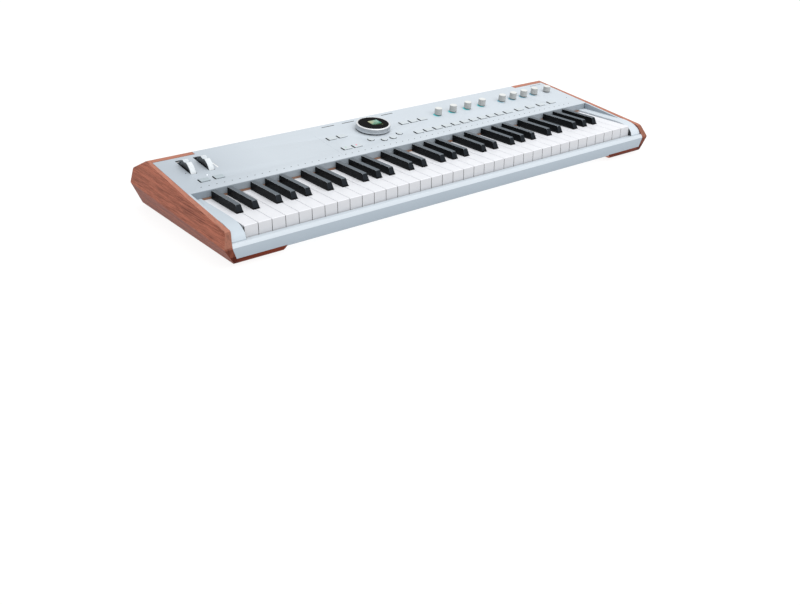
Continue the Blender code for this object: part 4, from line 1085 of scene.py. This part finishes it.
class KEYBOARD_OT_wheels(Operator):
    """Makes the pitch and modulation wheels and the near-black back of their well, painted shade in the slots
    """

    bl_idname = "keyboard.dress_wheels"
    bl_label = "Wheels"

    def execute(self, context):
        wheel = wheel_finish()
        for node, left, right in (("pitch_wheel", 8.2, 15.7), ("mod_wheel", 15.7, 8.2)):
            place = Matrix.Translation(Vector(JOINTS[node + "_turn"]["pos_m"]))
            mesh = wheel_mesh(left, right)
            piece(node + "_body", mesh, wheel, node, place, (node,), 35.0)
        # Painted shade: a near-black sheet behind the wheels darkens the inside of their slots.
        black = moulded_finish("well_shade_black", (0.006, 0.006, 0.007), 0.7)
        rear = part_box("pitch_wheel")[1].y / MM + 3.0
        corners = ((-443.0, 26.0), (-340.0, 26.0), (-340.0, 83.0), (-443.0, 83.0))
        back = loft("well", [[Vector((x, rear + out, z)) * MM for x, z in corners] for out in (0.0, 1.5)])
        piece("wheel_well_back", back, black, CASE)
        return {"FINISHED"}


def light_row_xs():
    """One small light to a key, evenly spaced at twelve to an octave."""
    pitch = 7 * KEY_PITCH / 12
    return [(index + 0.5) * pitch - WHITE_COUNT / 2 * KEY_PITCH for index in range(61)]


def bar_mesh(x, width, length, corner=0.2, y=0.0, top=0.04):
    """A flat inked bar on the panel, in millimetres from its seat."""
    return loft("bar", [rounded_loop(width, length, corner, height, (x, y), 2) for height in (-0.1, top)])


def mark(name, mesh, ink, x, y):
    """Lays a flat mark on the panel at X and foot point Y in millimetres."""
    piece(name, mesh, ink, CASE, seat(x, y))


class KEYBOARD_OT_marks(Operator):
    """Lays the small lights, dashes and lines on the panel"""

    bl_idname = "keyboard.dress_marks"
    bl_label = "Panel marks"

    def execute(self, context):
        dark = moulded_finish("mark_ink", (0.025, 0.032, 0.040), 0.5)
        grey = moulded_finish("pale_ink", (0.42, 0.48, 0.53), 0.5)
        pale = moulded_finish("white_ink", (0.92, 0.94, 0.95), 0.4)
        white = lit_finish("white_light", (0.9, 0.95, 1.0), 1.6)
        dots = [lamp_mesh(1.05, centre=(x, 0.0)) for x in light_row_xs()]
        mark("key_light_row", joined("dots", dots), dark, 0.0, LIGHT_ROW_Y)
        dashes = [bar_mesh(x, width, 2.3) for x, width in ((-100.2, 27.0), (-55.6, 26.7), (33.5, 26.9))]
        dashes.append(bar_mesh(419.0, 31.0, 1.2, y=-7.8))
        mark("rear_dashes", joined("dashes", dashes), dark, 0.0, 112.8)
        mark("wheel_streak", bar_mesh(0.0, 2.0, 20.1), pale, -357.7, 58.6)
        mark("panel_line", bar_mesh(0.0, 0.35, 92.0, 0.1, top=0.03), grey, -146.5, 40.0)
        for index, (x, y) in enumerate([(-414.5, 50.8), (-398.1, 45.1), (-366.1, 45.3), (428.5, 22.0)]):
            mark(f"panel_dot_{index + 1}", lamp_mesh(1.0), dark, x, y)
        mark("octave_light", lamp_mesh(0.9, 0.02), white, -387.0, 30.6)
        return {"FINISHED"}


def screw_mesh(centre, radius=2.6):
    """A plain pan head, head down."""
    profile = ((1.0, 0.6), (1.0, 0.0), (0.85, -0.5), (0.45, -0.75))
    mesh = loft("screw", [ring_points(radius * share, height, 24) for share, height in profile])
    mesh.transform(Matrix.Translation(Vector(centre) * MM))
    return mesh


class KEYBOARD_OT_underside(Operator):
    """Adds the underside's screws and finishes what is inside the body"""

    bl_idname = "keyboard.dress_underside"
    bl_label = "Underside and inside"

    def execute(self, context):
        zinc = metal_finish("zinc_screws", (0.55, 0.56, 0.58), 0.32, (900.0, 900.0, 300.0))
        steel = metal_finish("sheet_steel", (0.55, 0.56, 0.57), 0.38, (30.0, 1500.0, 1500.0))
        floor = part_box("bottom_tray")[0].z / MM
        spots = [(x, y, floor) for x in (-330.0, -165.0, 0.0, 165.0, 330.0) for y in (-135.0, 145.0)]
        piece("tray_screws", joined("screws", [screw_mesh(spot) for spot in spots]), zinc, CASE)
        dress(("keybed_chassis",), steel)
        # Painted shade: the wheel bracket is made near black so that it reads as shade deep in the slots.
        dress(("wheel_bracket",), moulded_finish("bracket_in_shade", (0.012, 0.012, 0.013), 0.6))
        dress(("key_contact_board", "main_board", "control_board"), board_finish())
        return {"FINISHED"}


def jack_nut(x, z, y):
    """A round knurled nut on a jack, its axis along Y."""
    loops = [(3.35, 0.0), (5.4, 0.0), (5.4, 1.0), (5.0, 1.3), (3.8, 1.3), (3.35, 0.9)]
    rings = [ring_points(radius, height, 96, 0.12 if radius > 5.0 else 0.0, 24) for radius, height in loops]
    mesh = loft("nut", rings, True)
    mesh.transform(Matrix.Translation(Vector((x, y, z)) * MM) @ Matrix.Rotation(-math.pi / 2, 4, "X"))
    return mesh


class KEYBOARD_OT_rear(Operator):
    """Finishes the rear sockets and the power button"""

    bl_idname = "keyboard.dress_rear"
    bl_label = "Rear sockets"

    def execute(self, context):
        dark = moulded_finish("socket_plastic", (0.025, 0.026, 0.028), 0.45)
        nickel = metal_finish("nickel_nuts", (0.72, 0.72, 0.70), 0.25, (500.0, 500.0, 500.0))
        edge = 0.25 * MM
        for node in ("audio_jacks", "pedal_jacks", "digital_ports", "power_button"):
            skin(node, dark, edge)
        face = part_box("rear_panel")[1].y / MM
        nuts = []
        for node, count in (("pedal_jacks", 4), ("audio_jacks", 5)):
            low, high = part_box(node)
            pitch = (high.x - low.x) / count
            xs = [(low.x + pitch * (index + 0.5)) / MM for index in range(count)]
            nuts += [jack_nut(x, (low.z + high.z) / 2 / MM, face - 0.05) for x in xs]
        piece("jack_nuts", joined("nuts", nuts), nickel, CASE)
        return {"FINISHED"}


def studio_light(name, kind, source, target, power, **settings):
    """A soft light that shines from one point towards another."""
    lamp = bpy.data.lights.new(name, kind)
    lamp.energy = power
    for key, value in settings.items():
        setattr(lamp, key, value)
    place, aim = Vector(source), Vector(target) - Vector(source)
    linked(name, lamp, Matrix.Translation(place) @ aim.to_track_quat("-Z", "Y").to_matrix().to_4x4())


class KEYBOARD_OT_stage(Operator):
    """Sets the floor, the soft lights and the camera of the studio"""

    bl_idname = "keyboard.set_stage"
    bl_label = "Studio stage"

    def execute(self, context):
        settings = context.scene.keyboard_stage
        finish = Finish("studio_floor", settings.floor, 0.6, Specular_IOR_Level=0.2)
        finish.set("Base Color", finish.tones(finish.noise(3.0, 2.0), 0.99, 1.0))
        finish.set("Emission Color", (1.0, 1.0, 1.0, 1.0))
        finish.set("Emission Strength", settings.floor_glow)
        body = bmesh.new()
        bmesh.ops.create_grid(body, x_segments=2, y_segments=2, size=14.0)
        mesh = bpy.data.meshes.new("studio_floor")
        body.to_mesh(mesh)
        body.free()
        mesh.materials.append(finish.material)
        linked("studio_floor", mesh)
        world = bpy.data.worlds.new("studio_room")
        context.scene.world = world
        world.use_nodes = True
        room = world.node_tree.nodes["Background"].inputs
        room["Color"].default_value = (1.0, 1.0, 1.0, 1.0)
        room["Strength"].default_value = settings.sky
        studio_light("front_bank", "SUN", (0.25, -1.7, 2.0), (0.0, 0.0, 0.0), settings.key,
                     angle=math.radians(60.0))
        studio_light("right_bank", "AREA", (0.45, 0.25, 1.15), (0.25, 0.0, 0.05), settings.side,
                     shape="RECTANGLE", size=1.2, size_y=0.8)
        camera = linked("camera", bpy.data.cameras.new("camera"))
        camera.data.lens = settings.lens
        camera.data.sensor_width = 36.0
        camera.data.clip_end = 60.0
        camera.location = (-1.02856, -1.31881, 0.58207)
        camera.rotation_euler = (math.radians(63.305), 0.0, math.radians(-37.388))
        context.scene.camera = camera
        context.scene.view_settings.view_transform = "Standard"
        context.scene.view_settings.exposure = settings.exposure
        return {"FINISHED"}


class KEYBOARD_PT_dress(Panel):
    """Lists the keyboard's pieces and their settings in the sidebar"""

    bl_label = "Stage keyboard"
    bl_idname = "KEYBOARD_PT_dress"
    bl_space_type = "VIEW_3D"
    bl_region_type = "UI"
    bl_category = "Keyboard"

    def draw(self, context):
        for group in SETTINGS:
            box = self.layout.box()
            values = getattr(context.scene, group)
            for name in values.__annotations__:
                box.prop(values, name)
        for operator in OPERATORS:
            self.layout.operator(operator.bl_idname)


SETTINGS = {
    "keyboard_shell": ShellSettings,
    "keyboard_keys": KeySettings,
    "keyboard_controls": ControlSettings,
    "keyboard_stage": StageSettings,
}
OPERATORS = (KEYBOARD_OT_shell, KEYBOARD_OT_wood, KEYBOARD_OT_keys, KEYBOARD_OT_buttons, KEYBOARD_OT_knobs,
             KEYBOARD_OT_dial, KEYBOARD_OT_wheels, KEYBOARD_OT_marks, KEYBOARD_OT_underside, KEYBOARD_OT_rear,
             KEYBOARD_OT_stage)


def register():
    for name, group in SETTINGS.items():
        bpy.utils.register_class(group)
        setattr(bpy.types.Scene, name, PointerProperty(type=group))
    for operator in OPERATORS:
        bpy.utils.register_class(operator)
    bpy.utils.register_class(KEYBOARD_PT_dress)


def unregister():
    bpy.utils.unregister_class(KEYBOARD_PT_dress)
    for operator in reversed(OPERATORS):
        bpy.utils.unregister_class(operator)
    for name, group in SETTINGS.items():
        delattr(bpy.types.Scene, name)
        bpy.utils.unregister_class(group)


def main():
    register()
    for operator in OPERATORS:
        space, name = operator.bl_idname.split(".")
        getattr(getattr(bpy.ops, space), name)()


if __name__ == "__main__":
    main()
